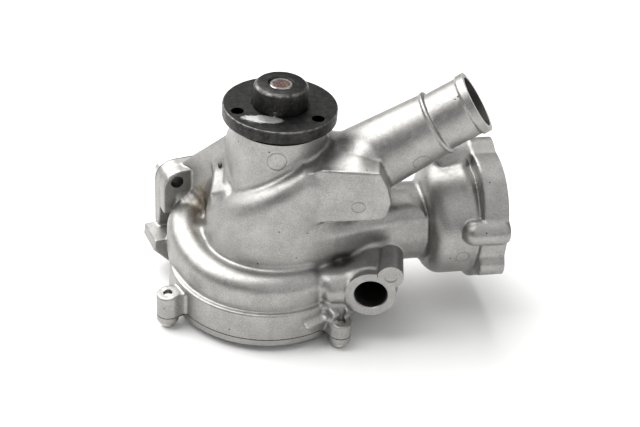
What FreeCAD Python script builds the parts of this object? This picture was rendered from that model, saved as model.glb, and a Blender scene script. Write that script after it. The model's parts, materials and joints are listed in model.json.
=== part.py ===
"""Automotive water pump: cast housing, spindle bearing, drive hub, face seal and impeller.

Millimetres, +Z up along the shaft. The origin is on the shaft axis, at the hub flange's seat face.
"""
import FreeCAD, Part
import math
import os

import Sketcher
from FreeCAD import Placement, Rotation, Vector

# Driving dimensions, kept in the spreadsheet under these names.
SIZES = {
    # shaft and drive hub
    "shaft_radius": 8, "shaft_top": 14.4, "shaft_bottom": -131, "shaft_chamfer": 1.2,
    "hub_radius": 37, "hub_thickness": 8.6, "hub_edge_chamfer": 0.8,
    "nose_radius": 17.45, "nose_height": 15, "nose_chamfer": 2.2, "nose_groove": 0.9,
    "skirt_radius": 15, "skirt_bottom": -14,
    "hub_hole_circle_radius": 29.5, "hub_hole_radius": 3.4, "hub_hole_count": 3,
    # spindle bearing
    "race_radius": 19, "race_bore_radius": 15, "race_top": -17, "race_length": 54,
    "raceway_radius": 9.5, "raceway_inset": 0.5, "pitch_radius": 12.25, "running_gap": 0.05,
    "ball_radius": 3.6, "ball_count": 8, "ball_level": -29,
    "roller_radius": 2.7, "roller_length": 12, "roller_count": 10, "roller_level": -57,
    "cage_inner_radius": 11.1, "cage_outer_radius": 13.4, "cage_gap": 0.15,
    "ball_cage_rim": 1, "roller_cage_rim": 2,
    "bearing_seal_thickness": 2, "bearing_seal_inset": 1, "bearing_seal_gap": 0.3,
    # face seal
    "drain_radius": 17.5, "seal_bore_radius": 18.5, "seal_bore_top": -81, "seal_boss_radius": 23,
    "seal_boss_bottom": -100, "seal_wall": 1, "seal_lip_radius": 21,
    "seal_inner_radius": 10, "carbon_radius": 14.5, "carbon_top": -98, "seal_face": -102,
    "seat_radius": 15, "seat_thickness": 4, "cup_wall": 1.5, "cup_base": 2, "cup_lip": 1,
    "bellows_wall": 1.5, "bellows_flange": 2,
    "spring_inner_radius": 12, "spring_outer_radius": 16, "spring_thickness": 1.2,
    "spring_count": 4, "spring_play": 0.1,
    "slinger_radius": 14, "slinger_thickness": 1.2, "slinger_level": -75,
    # impeller
    "impeller_radius": 46, "impeller_disc_top": -128.5, "impeller_bottom": -132,
    "impeller_hub_radius": 12, "impeller_hub_top": -108, "vane_top": -112, "vane_count": 7,
    "vane_thickness": 3, "vane_arc_radius": 26,
    # housing: tower, body and volute
    "tower_radius": 31, "tower_top": -13, "body_radius": 46, "shoulder_level": -39.5,
    "shoulder_angle": 33.8, "shoulder_rounding": 12, "body_flat_top": -26,
    "ring_offset": -4.8, "volute_radius": 50.5, "volute_section_radius": 11.5,
    "volute_level": -110, "volute_channel_radius": 7.5, "volute_tilt": 3.5,
    "volute_wall_radius": 61.3, "volute_wall_top": -106, "volute_roof_radius": 49.5,
    "volute_roof_top": -103, "rim_radius": 66, "rim_top": -121, "rim_bottom": -141,
    "cavity_radius": 56, "suction_radius": 40, "suction_top": -79,
    # hose pipe
    "pipe_start": -80, "pipe_azimuth": 2.8, "pipe_rise": 35.6, "pipe_length": 153.7,
    "pipe_radius": 19.6, "pipe_tube_start": 30, "pipe_root_radius": 27, "pipe_root_start": 25,
    "pipe_collar_radius": 22, "pipe_collar_length": 9, "pipe_collar_distance": 28,
    "pipe_lip_radius": 20.7, "pipe_lip_length": 5.5, "pipe_bore_radius": 17, "pipe_bore_start": 45,
    "gusset_depth": 35, "drop_radius": 14, "drop_distance": 54, "drop_wall_radius": 18,
    "drop_wall_top": -46, "drop_top": -44,
    # duct and thermostat chamber
    "duct_azimuth": 13.5, "duct_level": -96, "duct_start": 10, "duct_radius": 27,
    "duct_bore_start": 31, "duct_bore_radius": 22,
    "chamber_side_offset": -6, "chamber_level": -91.5, "chamber_radius": 38,
    "chamber_start": 102, "chamber_rounding": 12, "chamber_bore_radius": 34,
    "chamber_floor": 108, "flange_back": 133, "flange_face": 150, "flange_radius": 41.5,
    "flange_bolt_circle_radius": 41.5, "flange_boss_radius": 8.5, "flange_hole_radius": 3.4,
    "flange_upper_radius": 43.8, "flange_upper_boss_radius": 12, "flange_lift": 8,
    "flange_hole_depth": 22, "foot_radius": 9, "foot_reach": 38.5, "foot_angle": 200,
    # side port
    "port_x": 68.3, "port_level": -112, "port_face": 46, "port_radius": 16.8, "port_back": -6,
    "port_bore_radius": 10.8, "port_bore_back": -1, "port_screw_x": 80.1,
    "port_screw_level": -96.4, "port_screw_boss_radius": 8.3, "port_screw_boss_back": 27,
    "port_web_back": 20, "dimple_radius": 4, "dimple_depth": 3,
    # mounting flange, its gasket and the plate behind it
    "mount_azimuth": 27, "mount_distance": 65, "mount_flange_thickness": 8,
    "mount_left": -62.5, "mount_right": 52, "mount_top": -76.5, "mount_low": -119.5,
    "lug_top": -70.5, "lug_low": -92.5, "lug_thickness": 16, "left_lug_side": -30.5,
    "right_lug_side": 28, "lug_hole_left": -52.2, "lug_hole_right": 42,
    "lug_hole_level": -78.9, "lug_hole_radius": 4.4, "lug_hole_start": 30,
    "arm_left": -52.5, "arm_right": 48, "arm_top": -90.5, "arm_front": 44, "wing_depth": 24,
    "gasket_thickness": 1, "rear_plate_thickness": 5, "outlet_half_width": 16,
    "outlet_top": -104, "outlet_low": -117, "outlet_wall": 6, "outlet_front": 40,
    "outlet_bore_front": 48,
    # rear cover and its screws
    "cover_gasket_thickness": 0.8, "cover_thickness": 5.2, "screw_circle_radius": 75.5,
    "screw_boss_radius": 7.5, "screw_boss_top": -125, "low_boss_top": -131.5,
    "screw_hole_radius": 3.1, "screw_hole_top": -113, "screw_radius": 2.95, "screw_tip_gap": 1.5,
    "screw_head_radius": 5.5, "screw_head_height": 4.5,
    # weep hole and stiffening rib
    "weep_radius": 1.6, "weep_azimuth": 173, "weep_rise": 47.6, "weep_level": -94.6,
    "weep_start": 24, "weep_end": 62, "rib_azimuth": 142.4, "rib_offset": 16.6,
    "rib_thickness": 8, "rib_foot_thickness": 7,
    # how far a cutter runs past the face it opens, and the block that cuts the sloping top
    "overrun": 1, "slope_block": 200,
}
# Cover screws: azimuth about the ring's centre, and the top of the boss.
SCREWS = [(5, "screw_boss_top"), (50, "screw_boss_top"), (95, "screw_boss_top"),
          (140, "screw_boss_top"), (216, "screw_boss_top"), (317, "low_boss_top")]
# Thermostat cover screws: angle and reach from the chamber's axis, boss radius and boss length.
FLANGE_BOLTS = [(161, "flange_bolt_circle_radius", "flange_boss_radius", 31),
                (71, "flange_upper_radius", "flange_upper_boss_radius", 42),
                (325, "flange_bolt_circle_radius", "flange_boss_radius", 31)]
# Outlines of the flat cast pieces: distance along the piece, then level.
GUSSET_OUTLINE = [(12, -71), (29, -68), (71.5, -61), (75, -44), (63, -23), (32, -28), (12, -40)]
WING_OUTLINE = [(-45, -119), (-71, -119), (-72, -127), (-60, -140), (-45, -140)]
RIB_OUTLINE = [(10, -17), (22, -19), (74, -69), (74, -96), (10, -96)]
RIB_FOOT_OUTLINE = [(10, -50), (28, -50), (46, -62), (46, -100), (10, -100)]

doc = FreeCAD.newDocument("water_pump")
sheet = doc.addObject("Spreadsheet::Sheet", "dim")
for row, (alias, number) in enumerate(SIZES.items(), start=1):
    sheet.set(f"A{row}", alias)
    sheet.set(f"B{row}", str(number))
    sheet.setAlias(f"B{row}", alias)
doc.recompute()


def bind(item, **expressions):
    """Bind properties of an item to expressions in the sheet's names; base_x means Placement.Base.x."""
    for name, text in expressions.items():
        path = name.replace("base_", ".Placement.Base.") if name.startswith("base_") else name
        item.setExpression(path, text)
    return item


def turn_to(item, azimuth=0, rise=0):
    """Turn an upright item so that its own Z points along an azimuth and a rise, in degrees."""
    direction = Rotation(Vector(0, 0, 1), azimuth) * Rotation(Vector(0, 1, 0), 90 - rise)
    item.Placement = Placement(item.Placement.Base, direction)
    return item


def cylinder(name, radius, low, high, x="0", y="0"):
    """Upright cylinder between two levels."""
    item = doc.addObject("Part::Cylinder", name)
    return bind(item, Radius=radius, Height=f"({high}) - ({low})", base_x=x, base_y=y, base_z=low)


def rod(name, radius, start, end, azimuth, rise, x="0", y="0", z="0"):
    """Cylinder along a slanted or level line through (x, y, z), between two distances on it."""
    item = turn_to(doc.addObject("Part::Cylinder", name), azimuth, rise)
    flat = math.cos(math.radians(rise))
    step = [flat * math.cos(math.radians(azimuth)), flat * math.sin(math.radians(azimuth)),
            math.sin(math.radians(rise))]
    return bind(item, Radius=radius, Height=f"({end}) - ({start})",
                base_x=f"{x} + ({start}) * {step[0]:.9f}",
                base_y=f"{y} + ({start}) * {step[1]:.9f}",
                base_z=f"{z} + ({start}) * {step[2]:.9f}")


def torus(name, radius, section_radius, level, x="0"):
    """Ring about a vertical axis."""
    item = doc.addObject("Part::Torus", name)
    return bind(item, Radius1=radius, Radius2=section_radius, base_x=x, base_z=level)


def block(name, azimuth, along, across, low, high, x="0"):
    """Upright box turned about (x, 0): `along` and `across` are its limits on the turned axes."""
    item = doc.addObject("Part::Box", name)
    item.Placement = Placement(Vector(), Rotation(Vector(0, 0, 1), azimuth))
    cosine, sine = math.cos(math.radians(azimuth)), math.sin(math.radians(azimuth))
    return bind(item, Length=f"({along[1]}) - ({along[0]})", Width=f"({across[1]}) - ({across[0]})",
                Height=f"({high}) - ({low})",
                base_x=f"{x} + ({along[0]}) * {cosine:.9f} - ({across[0]}) * {sine:.9f}",
                base_y=f"({along[0]}) * {sine:.9f} + ({across[0]}) * {cosine:.9f}", base_z=low)


def fuse(name, items):
    """Union of several items."""
    item = doc.addObject("Part::MultiFuse", name)
    item.Shapes = items
    return item


def cut(name, base, tool):
    """Base without the tool."""
    item = doc.addObject("Part::Cut", name)
    item.Base = base
    item.Tool = tool
    return item


def group(name, items):
    """Separate solids kept in one node."""
    item = doc.addObject("Part::Compound", name)
    item.Links = items
    return item


def origin_plane(body, role):
    """One of a body's own origin planes."""
    return next(plane for plane in body.Origin.OriginFeatures if plane.Role == role)


def outline_sketch(body, role, corners):
    """Closed outline of straight lines, each corner held by two distances from the origin."""
    sketch = body.newObject("Sketcher::SketchObject", body.Name + "_outline")
    sketch.AttachmentSupport = [(origin_plane(body, role), "")]
    sketch.MapMode = "FlatFace"
    count = len(corners)
    spots = [Vector(10 * math.cos(2 * math.pi * i / count), 10 * math.sin(2 * math.pi * i / count), 0)
             for i in range(count)]
    for i in range(count):
        sketch.addGeometry(Part.LineSegment(spots[i], spots[(i + 1) % count]), False)
    for i in range(count):
        sketch.addConstraint(Sketcher.Constraint("Coincident", i, 2, (i + 1) % count, 1))
    for i, (across, up) in enumerate(corners):
        for kind, text in (("DistanceX", across), ("DistanceY", up)):
            number = sketch.addConstraint(Sketcher.Constraint(kind, -1, 1, i, 1, 1.0))
            sketch.setExpression(f"Constraints[{number}]", str(text))
    return sketch


def turned(name, corners):
    """Body turned about Z from an outline of (radius, level) corners."""
    body = doc.addObject("PartDesign::Body", name)
    sketch = outline_sketch(body, "XZ_Plane", corners)
    feature = body.newObject("PartDesign::Revolution", name + "_turning")
    feature.Profile = sketch
    feature.ReferenceAxis = (sketch, ["V_Axis"])
    feature.Angle = 360
    sketch.Visibility = False
    return body


def ring(name, inner, outer, low, high):
    """Plain turned ring."""
    return turned(name, [(inner, low), (outer, low), (outer, high), (inner, high)])


def plate(name, corners, thickness, role="XZ_Plane", midplane=False):
    """Body padded from an outline."""
    body = doc.addObject("PartDesign::Body", name)
    sketch = outline_sketch(body, role, corners)
    feature = body.newObject("PartDesign::Pad", name + "_pad")
    feature.Profile = sketch
    feature.Midplane = midplane
    feature.setExpression("Length", thickness)
    sketch.Visibility = False
    return body


def drilled_round(name, base, tool_radius, low, high, radius, count, phase=0):
    """Base with a circle of upright holes about the shaft."""
    holes = []
    for i in range(count):
        angle = math.radians(phase + 360 * i / count)
        holes.append(cylinder(f"{name}_hole_{i + 1}", tool_radius, low, high,
                              f"{radius} * {math.cos(angle):.9f}", f"{radius} * {math.sin(angle):.9f}"))
    return cut(name, base, fuse(name + "_holes", holes))


def screw_spot(azimuth):
    """X and Y of a cover screw, as expressions."""
    angle = math.radians(azimuth)
    return (f"dim.ring_offset + dim.screw_circle_radius * {math.cos(angle):.9f}",
            f"dim.screw_circle_radius * {math.sin(angle):.9f}")


# ---------------------------------------------------------------- rotor

def drive_hub():
    """Flanged hub pressed on the shaft, with a pilot nose and three tapped pulley holes."""
    blank = turned("hub_blank", [
        ("dim.shaft_radius", "dim.skirt_bottom"), ("dim.skirt_radius", "dim.skirt_bottom"),
        ("dim.skirt_radius", "-dim.hub_thickness"),
        ("dim.hub_radius - dim.hub_edge_chamfer", "-dim.hub_thickness"),
        ("dim.hub_radius", "dim.hub_edge_chamfer - dim.hub_thickness"),
        ("dim.hub_radius", "-dim.hub_edge_chamfer"),
        ("dim.hub_radius - dim.hub_edge_chamfer", "0 * dim.hub_radius"),
        ("dim.nose_radius + dim.nose_groove", "0 * dim.hub_radius"),
        ("dim.nose_radius + dim.nose_groove", "-dim.nose_groove"),
        ("dim.nose_radius", "-dim.nose_groove"),
        ("dim.nose_radius", "dim.nose_height - dim.nose_chamfer"),
        ("dim.nose_radius - dim.nose_chamfer", "dim.nose_height"),
        ("dim.shaft_radius", "dim.nose_height")])
    return drilled_round("drive_hub", blank, "dim.hub_hole_radius", "-2 * dim.hub_thickness",
                         "dim.hub_thickness", "dim.hub_hole_circle_radius",
                         SIZES["hub_hole_count"], phase=88)


def shaft():
    """Stepped spindle: the thick middle is the bearing's inner raceway."""
    spindle = turned("spindle", [
        ("0 * dim.shaft_radius", "dim.shaft_bottom"),
        ("dim.shaft_radius - dim.shaft_chamfer", "dim.shaft_bottom"),
        ("dim.shaft_radius", "dim.shaft_bottom + dim.shaft_chamfer"),
        ("dim.shaft_radius", "dim.shaft_top - dim.shaft_chamfer"),
        ("dim.shaft_radius - dim.shaft_chamfer", "dim.shaft_top"),
        ("0 * dim.shaft_radius", "dim.shaft_top")])
    raceway = cylinder("raceway", "dim.raceway_radius",
                       "dim.race_top - dim.race_length + dim.raceway_inset",
                       "dim.race_top - dim.raceway_inset")
    groove = torus("shaft_groove", "dim.pitch_radius", "dim.ball_radius + dim.running_gap",
                   "dim.ball_level")
    return fuse("shaft", [spindle, cut("grooved_raceway", raceway, groove)])


def impeller():
    """Open impeller: disc below, curved vanes standing up towards the suction side."""
    pieces = [cylinder("impeller_disc", "dim.impeller_radius", "dim.impeller_bottom",
                       "dim.impeller_disc_top"),
              cylinder("impeller_hub", "dim.impeller_hub_radius", "dim.impeller_bottom",
                       "dim.impeller_hub_top")]
    for i in range(SIZES["vane_count"]):
        angle = 360 * i / SIZES["vane_count"]
        outer = cylinder(f"vane_outside_{i + 1}", "dim.vane_arc_radius", "dim.impeller_disc_top - 1",
                         "dim.vane_top")
        inner = cylinder(f"vane_inside_{i + 1}", "dim.vane_arc_radius - dim.vane_thickness",
                         "dim.impeller_bottom", "dim.impeller_hub_top")
        for item in (outer, inner):
            turn = math.radians(angle)
            bind(item, base_x=f"dim.vane_arc_radius * {math.cos(turn):.9f}",
                 base_y=f"dim.vane_arc_radius * {math.sin(turn):.9f}")
        arc = cut(f"vane_{i + 1}_arc", outer, inner)
        half = block(f"vane_{i + 1}_half", angle,
                     ("dim.impeller_hub_radius - 3", "dim.impeller_radius"),
                     ("0", "dim.impeller_radius"), "dim.impeller_bottom", "dim.impeller_hub_top")
        vane = doc.addObject("Part::Common", f"vane_{i + 1}")
        vane.Base = arc
        vane.Tool = half
        pieces.append(vane)
    bound = cylinder("impeller_bound", "dim.impeller_radius", "dim.impeller_bottom",
                     "dim.impeller_hub_top")
    trimmed = doc.addObject("Part::Common", "impeller_trimmed")
    trimmed.Base = fuse("impeller_blank", pieces)
    trimmed.Tool = bound
    bore = cylinder("impeller_bore", "dim.shaft_radius", "dim.impeller_bottom", "dim.impeller_hub_top")
    return cut("impeller", trimmed, bore)


def slinger():
    """Thin disc on the shaft that throws drips outwards to the weep hole."""
    return ring("slinger", "dim.shaft_radius", "dim.slinger_radius", "dim.slinger_level",
                "dim.slinger_level + dim.slinger_thickness")


def seal_seat():
    """Rotating half of the face seal: a ring held in a cup on the shaft."""
    base = "dim.seal_face - dim.seat_thickness"
    bottom, lip = f"{base} - dim.cup_base", "dim.seal_face - dim.cup_lip"
    inner, outer = "dim.shaft_radius + dim.cup_wall", "dim.seat_radius + dim.cup_wall"
    cup = turned("seal_seat_cup", [
        ("dim.shaft_radius", bottom), (outer, bottom), (outer, lip), ("dim.seat_radius", lip),
        ("dim.seat_radius", base), (inner, base), (inner, lip), ("dim.shaft_radius", lip)])
    seat = ring("seal_seat_ring", inner, "dim.seat_radius", base, "dim.seal_face - dim.running_gap")
    return [cup, seat]


# ---------------------------------------------------------------- bearing

def bearing_outer_race():
    """Plain outer sleeve with a ball groove, pressed into the tower."""
    blank = ring("race_blank", "dim.race_bore_radius", "dim.race_radius",
                 "dim.race_top - dim.race_length", "dim.race_top")
    groove = torus("race_groove", "dim.pitch_radius", "dim.ball_radius + dim.running_gap",
                   "dim.ball_level")
    return cut("bearing_outer_race", blank, groove)


def around(count):
    """Direction cosines of evenly spaced places about the shaft."""
    return [(math.cos(2 * math.pi * i / count), math.sin(2 * math.pi * i / count))
            for i in range(count)]


def ball_row():
    """Balls and the ring cage that spaces them."""
    balls, pockets = [], []
    for i, (cosine, sine) in enumerate(around(SIZES["ball_count"])):
        for items, label, radius in ((balls, "ball", "dim.ball_radius"),
                                     (pockets, "ball_pocket", "dim.ball_radius + dim.cage_gap")):
            item = doc.addObject("Part::Sphere", f"{label}_{i + 1}")
            bind(item, Radius=radius, base_x=f"dim.pitch_radius * {cosine:.9f}",
                 base_y=f"dim.pitch_radius * {sine:.9f}", base_z="dim.ball_level")
            items.append(item)
    blank = ring("ball_cage_blank", "dim.cage_inner_radius", "dim.cage_outer_radius",
                 "dim.ball_level - dim.ball_radius - dim.ball_cage_rim",
                 "dim.ball_level + dim.ball_radius / 2")
    cage = cut("ball_cage", blank, fuse("ball_pockets", pockets))
    return [group("bearing_balls", balls), cage]


def roller_row():
    """Rollers and the window cage that spaces them."""
    rollers, pockets = [], []
    for i, (cosine, sine) in enumerate(around(SIZES["roller_count"])):
        for items, label, extra in ((rollers, "roller", "0"), (pockets, "roller_pocket", "dim.cage_gap")):
            half = f"dim.roller_length / 2 + {extra}"
            items.append(cylinder(f"{label}_{i + 1}", f"dim.roller_radius + {extra}",
                                  f"dim.roller_level - ({half})", f"dim.roller_level + {half}",
                                  f"dim.pitch_radius * {cosine:.9f}", f"dim.pitch_radius * {sine:.9f}"))
    blank = ring("roller_cage_blank", "dim.cage_inner_radius", "dim.cage_outer_radius",
                 "dim.roller_level - dim.roller_length / 2 - dim.roller_cage_rim",
                 "dim.roller_level + dim.roller_length / 2 + dim.roller_cage_rim")
    cage = cut("roller_cage", blank, fuse("roller_pockets", pockets))
    return [group("bearing_rollers", rollers), cage]


def bearing_seals():
    """Lip seals that close both ends of the bearing."""
    top = "dim.race_top - dim.bearing_seal_inset"
    bottom = "dim.race_top - dim.race_length + dim.bearing_seal_inset"
    front = ring("bearing_front_seal", "dim.raceway_radius + dim.bearing_seal_gap", "dim.race_bore_radius",
                 f"{top} - dim.bearing_seal_thickness", top)
    rear = ring("bearing_rear_seal", "dim.raceway_radius + dim.bearing_seal_gap", "dim.race_bore_radius",
                bottom, f"{bottom} + dim.bearing_seal_thickness")
    return [front, rear]


# ---------------------------------------------------------------- face seal, fixed half

def seal_fixed_half():
    """Case, rubber bellows, spring and carbon ring that stay still in the housing."""
    case = turned("seal_case", [
        ("dim.seal_inner_radius", "dim.seal_bore_top - dim.seal_wall"),
        ("dim.seal_bore_radius - dim.seal_wall", "dim.seal_bore_top - dim.seal_wall"),
        ("dim.seal_bore_radius - dim.seal_wall", "dim.seal_boss_bottom - dim.seal_wall"),
        ("dim.seal_lip_radius", "dim.seal_boss_bottom - dim.seal_wall"),
        ("dim.seal_lip_radius", "dim.seal_boss_bottom"), ("dim.seal_bore_radius", "dim.seal_boss_bottom"),
        ("dim.seal_bore_radius", "dim.seal_bore_top"), ("dim.seal_inner_radius", "dim.seal_bore_top")])
    roof = "dim.seal_bore_top - dim.seal_wall"
    low, high = "dim.carbon_top + dim.bellows_flange", f"{roof} - dim.bellows_flange"
    sleeve, rim = "dim.seal_inner_radius + dim.bellows_wall", "dim.carbon_radius + dim.bellows_flange"
    bellows = turned("seal_bellows", [
        ("dim.seal_inner_radius", "dim.carbon_top"), ("dim.carbon_radius", "dim.carbon_top"),
        ("dim.carbon_radius", low), (sleeve, low), (sleeve, high), (rim, high), (rim, roof),
        ("dim.seal_inner_radius", roof)])
    carbon = ring("seal_carbon_ring", "dim.seal_inner_radius", "dim.carbon_radius",
                  "dim.seal_face", "dim.carbon_top")
    start = f"({low} + dim.spring_play)"
    rise = f"({high} - dim.spring_play - {start}) / dim.spring_count"
    folds = [("dim.spring_outer_radius" if i % 2 else "dim.spring_inner_radius",
              f"{start} + {i} * ({rise})") for i in range(SIZES["spring_count"] + 1)]
    back = [(f"{radius} + dim.spring_thickness", level) for radius, level in reversed(folds)]
    spring = turned("seal_spring", folds + back)
    return [case, bellows, carbon, spring]


# ---------------------------------------------------------------- housing

def central_castings():
    """Tower, shouldered body, volute ring and rim."""
    tower = cylinder("tower", "dim.tower_radius", "dim.seal_boss_bottom", "dim.tower_top")
    drum = cylinder("body_drum", "dim.body_radius", "dim.volute_level", "dim.nose_height")
    slope = doc.addObject("Part::Box", "shoulder_slope")
    size = SIZES["slope_block"]
    slope.Length = slope.Width = slope.Height = size
    turn = Rotation(Vector(0, 1, 0), -SIZES["shoulder_angle"])
    corner = turn * Vector(-size / 2, -size / 2, 0)
    slope.Placement = Placement(corner, turn)
    slope.setExpression(".Placement.Base.z", f"dim.shoulder_level + {corner.z:.9f}")
    sloped = cut("body_sloped", drum, slope)
    ring_x = "dim.ring_offset"
    crest = torus("volute_crest", "dim.volute_radius", "dim.volute_section_radius",
                  "dim.volute_level", ring_x)
    crest.Placement.Rotation = Rotation(Vector(0, 1, 0), SIZES["volute_tilt"])
    wall = cylinder("volute_wall", "dim.volute_wall_radius", "dim.rim_top", "dim.volute_wall_top",
                    ring_x)
    roof = cylinder("volute_roof", "dim.volute_roof_radius", "dim.rim_top", "dim.volute_roof_top",
                    ring_x)
    rim = cylinder("rim", "dim.rim_radius", "dim.rim_bottom", "dim.rim_top", ring_x)
    trim = cylinder("body_trim", "dim.body_radius + dim.overrun", "dim.body_flat_top", "dim.nose_height")
    body = cut("body", rounded_shoulder(sloped), trim)
    return [tower, body, crest, wall, roof, rim]


def rounded_shoulder(sloped):
    """Body with its sloping top edge rounded."""
    doc.recompute()
    rounding = SIZES["shoulder_rounding"]
    edges = [number for number, edge in enumerate(sloped.Shape.Edges, start=1)
             if edge.BoundBox.ZMin > SIZES["rim_top"] + rounding * 1.5
             and edge.Curve.TypeId == "Part::GeomEllipse"]
    item = doc.addObject("Part::Fillet", "body_shouldered")
    item.Base = sloped
    item.Edges = [(number, rounding, rounding) for number in edges]
    return item


def pipe_castings():
    """Tapered hose pipe with its bead and lip, and the gusset pad below it."""
    line = {"azimuth": SIZES["pipe_azimuth"], "rise": SIZES["pipe_rise"], "z": "dim.pipe_start"}
    collar_end = "dim.pipe_length - dim.pipe_collar_distance"
    collar_start = f"{collar_end} - dim.pipe_collar_length"
    tube = rod("pipe_tube", "dim.pipe_radius", "dim.pipe_tube_start", "dim.pipe_length", **line)
    collar = rod("pipe_collar", "dim.pipe_collar_radius", collar_start, collar_end, **line)
    lip = rod("pipe_lip", "dim.pipe_lip_radius", "dim.pipe_length - dim.pipe_lip_length",
              "dim.pipe_length", **line)
    root = turn_to(doc.addObject("Part::Cone", "pipe_root"), line["azimuth"], line["rise"])
    flat = math.cos(math.radians(line["rise"]))
    bind(root, Radius1="dim.pipe_root_radius", Radius2="dim.pipe_collar_radius",
         Height=f"{collar_start} - dim.pipe_root_start",
         base_x=f"dim.pipe_root_start * {flat * math.cos(math.radians(line['azimuth'])):.9f}",
         base_y=f"dim.pipe_root_start * {flat * math.sin(math.radians(line['azimuth'])):.9f}",
         base_z=f"dim.pipe_start + dim.pipe_root_start * {math.sin(math.radians(line['rise'])):.9f}")
    gusset = plate("gusset", GUSSET_OUTLINE, "dim.gusset_depth")
    turn = math.radians(SIZES["pipe_azimuth"])
    drop = cylinder("drop_wall", "dim.drop_wall_radius", "dim.duct_level", "dim.drop_wall_top",
                    f"dim.drop_distance * {math.cos(turn):.9f}",
                    f"dim.drop_distance * {math.sin(turn):.9f}")
    return [tube, collar, lip, root, gusset, drop]


def chamber_line():
    """Axis of the thermostat chamber, as arguments of a rod."""
    turn = math.radians(SIZES["duct_azimuth"])
    return {"azimuth": SIZES["duct_azimuth"], "rise": 0, "z": "dim.chamber_level",
            "x": f"dim.chamber_side_offset * {-math.sin(turn):.9f}",
            "y": f"dim.chamber_side_offset * {math.cos(turn):.9f}"}


def face_line(angle, reach):
    """Line parallel to the chamber's axis, at an angle and a reach from it."""
    turn, lean = math.radians(SIZES["duct_azimuth"]), math.radians(angle)
    side = f"(dim.chamber_side_offset + {reach} * {math.cos(lean):.9f})"
    return {"azimuth": SIZES["duct_azimuth"], "rise": 0,
            "x": f"{side} * {-math.sin(turn):.9f}", "y": f"{side} * {math.cos(turn):.9f}",
            "z": f"dim.chamber_level + {reach} * {math.sin(lean):.9f}"}


def chamber_castings():
    """Duct, thermostat chamber and its bolting flange."""
    duct = rod("duct", "dim.duct_radius", "dim.duct_start", "dim.chamber_floor",
               SIZES["duct_azimuth"], 0, z="dim.duct_level")
    drum = rod("chamber_drum", "dim.chamber_radius", "dim.chamber_start", "dim.flange_face",
               **chamber_line())
    doc.recompute()
    start = min(drum.Shape.Edges, key=lambda edge: edge.BoundBox.XMin + edge.BoundBox.XMax)
    number = next(i for i, edge in enumerate(drum.Shape.Edges, start=1) if edge.isSame(start))
    body = doc.addObject("Part::Fillet", "chamber")
    body.Base = drum
    body.Edges = [(number, SIZES["chamber_rounding"], SIZES["chamber_rounding"])]
    flange = rod("chamber_flange", "dim.flange_radius", "dim.flange_back", "dim.flange_face",
                 **chamber_line())
    raised = rod("chamber_flange_top", "dim.flange_radius", "dim.flange_back", "dim.flange_face",
                 **{**chamber_line(), "z": "dim.chamber_level + dim.flange_lift"})
    foot = rod("flange_foot", "dim.foot_radius", "dim.flange_back", "dim.flange_face",
               **face_line(SIZES["foot_angle"], "dim.foot_reach"))
    bosses = [rod(f"flange_boss_{i + 1}", f"dim.{radius}", f"dim.flange_face - {length}",
                  "dim.flange_face", **face_line(angle, f"dim.{reach}"))
              for i, (angle, reach, radius, length) in enumerate(FLANGE_BOLTS)]
    return [duct, body, flange, raised, foot] + bosses


def port_castings():
    """Boss of the side port and the smaller screw boss beside it."""
    boss = rod("port_boss", "dim.port_radius", "dim.port_back", "dim.port_face", -90, 0,
               x="dim.port_x", z="dim.port_level")
    screw = rod("port_screw_boss", "dim.port_screw_boss_radius", "dim.port_screw_boss_back",
                "dim.port_face", -90, 0, x="dim.port_screw_x", z="dim.port_screw_level")
    web = rod("port_web", "dim.port_screw_boss_radius", "dim.port_web_back", "dim.port_face", -90, 0,
              x="(dim.port_x + dim.port_screw_x) / 2",
              z="(dim.port_level + dim.port_screw_level) / 2")
    return [boss, screw, web]


def mount_castings():
    """Mounting flange, its two lugs, the outlet duct and the stiffening rib."""
    azimuth = SIZES["mount_azimuth"]
    face = "dim.mount_distance"
    back = f"{face} - dim.mount_flange_thickness"
    front = f"{face} - dim.lug_thickness"
    flange = block("mount_flange", azimuth, ("dim.mount_left", "dim.mount_right"), (back, face),
                   "dim.mount_low", "dim.mount_top")
    left = block("left_lug", azimuth, ("dim.mount_left", "dim.left_lug_side"), (front, face),
                 "dim.lug_low", "dim.lug_top")
    right = block("right_lug", azimuth, ("dim.right_lug_side", "dim.mount_right"), (front, face),
                  "dim.lug_low", "dim.lug_top")
    arm = block("lug_arm", azimuth, ("dim.arm_left", "dim.arm_right"), ("dim.arm_front", face),
                "dim.mount_low", "dim.arm_top")
    outlet = block("outlet_duct", azimuth,
                   ("-dim.outlet_half_width - dim.outlet_wall",
                    "dim.outlet_half_width + dim.outlet_wall"),
                   ("dim.outlet_front", face), "dim.mount_low", "dim.outlet_top + dim.outlet_wall")
    wing = plate("left_wing", WING_OUTLINE, "dim.wing_depth")
    turn = Rotation(Vector(0, 0, 1), azimuth)
    wing.Placement = Placement(turn * Vector(0, SIZES["mount_distance"], 0), turn)
    return [flange, left, right, arm, outlet, wing] + rib_castings()


def rib_castings():
    """Stiffening rib from the tower to the left lug, and its thicker foot."""
    turn = Rotation(Vector(0, 0, 1), SIZES["rib_azimuth"])
    rib = plate("rib", RIB_OUTLINE, "dim.rib_thickness")
    rib.Placement = Placement(turn * Vector(0, SIZES["rib_offset"], 0), turn)
    foot = plate("rib_foot", RIB_FOOT_OUTLINE, "dim.rib_foot_thickness")
    foot.Placement = Placement(turn * Vector(0, SIZES["rib_offset"] + SIZES["rib_foot_thickness"], 0),
                               turn)
    return [rib, foot]


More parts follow.
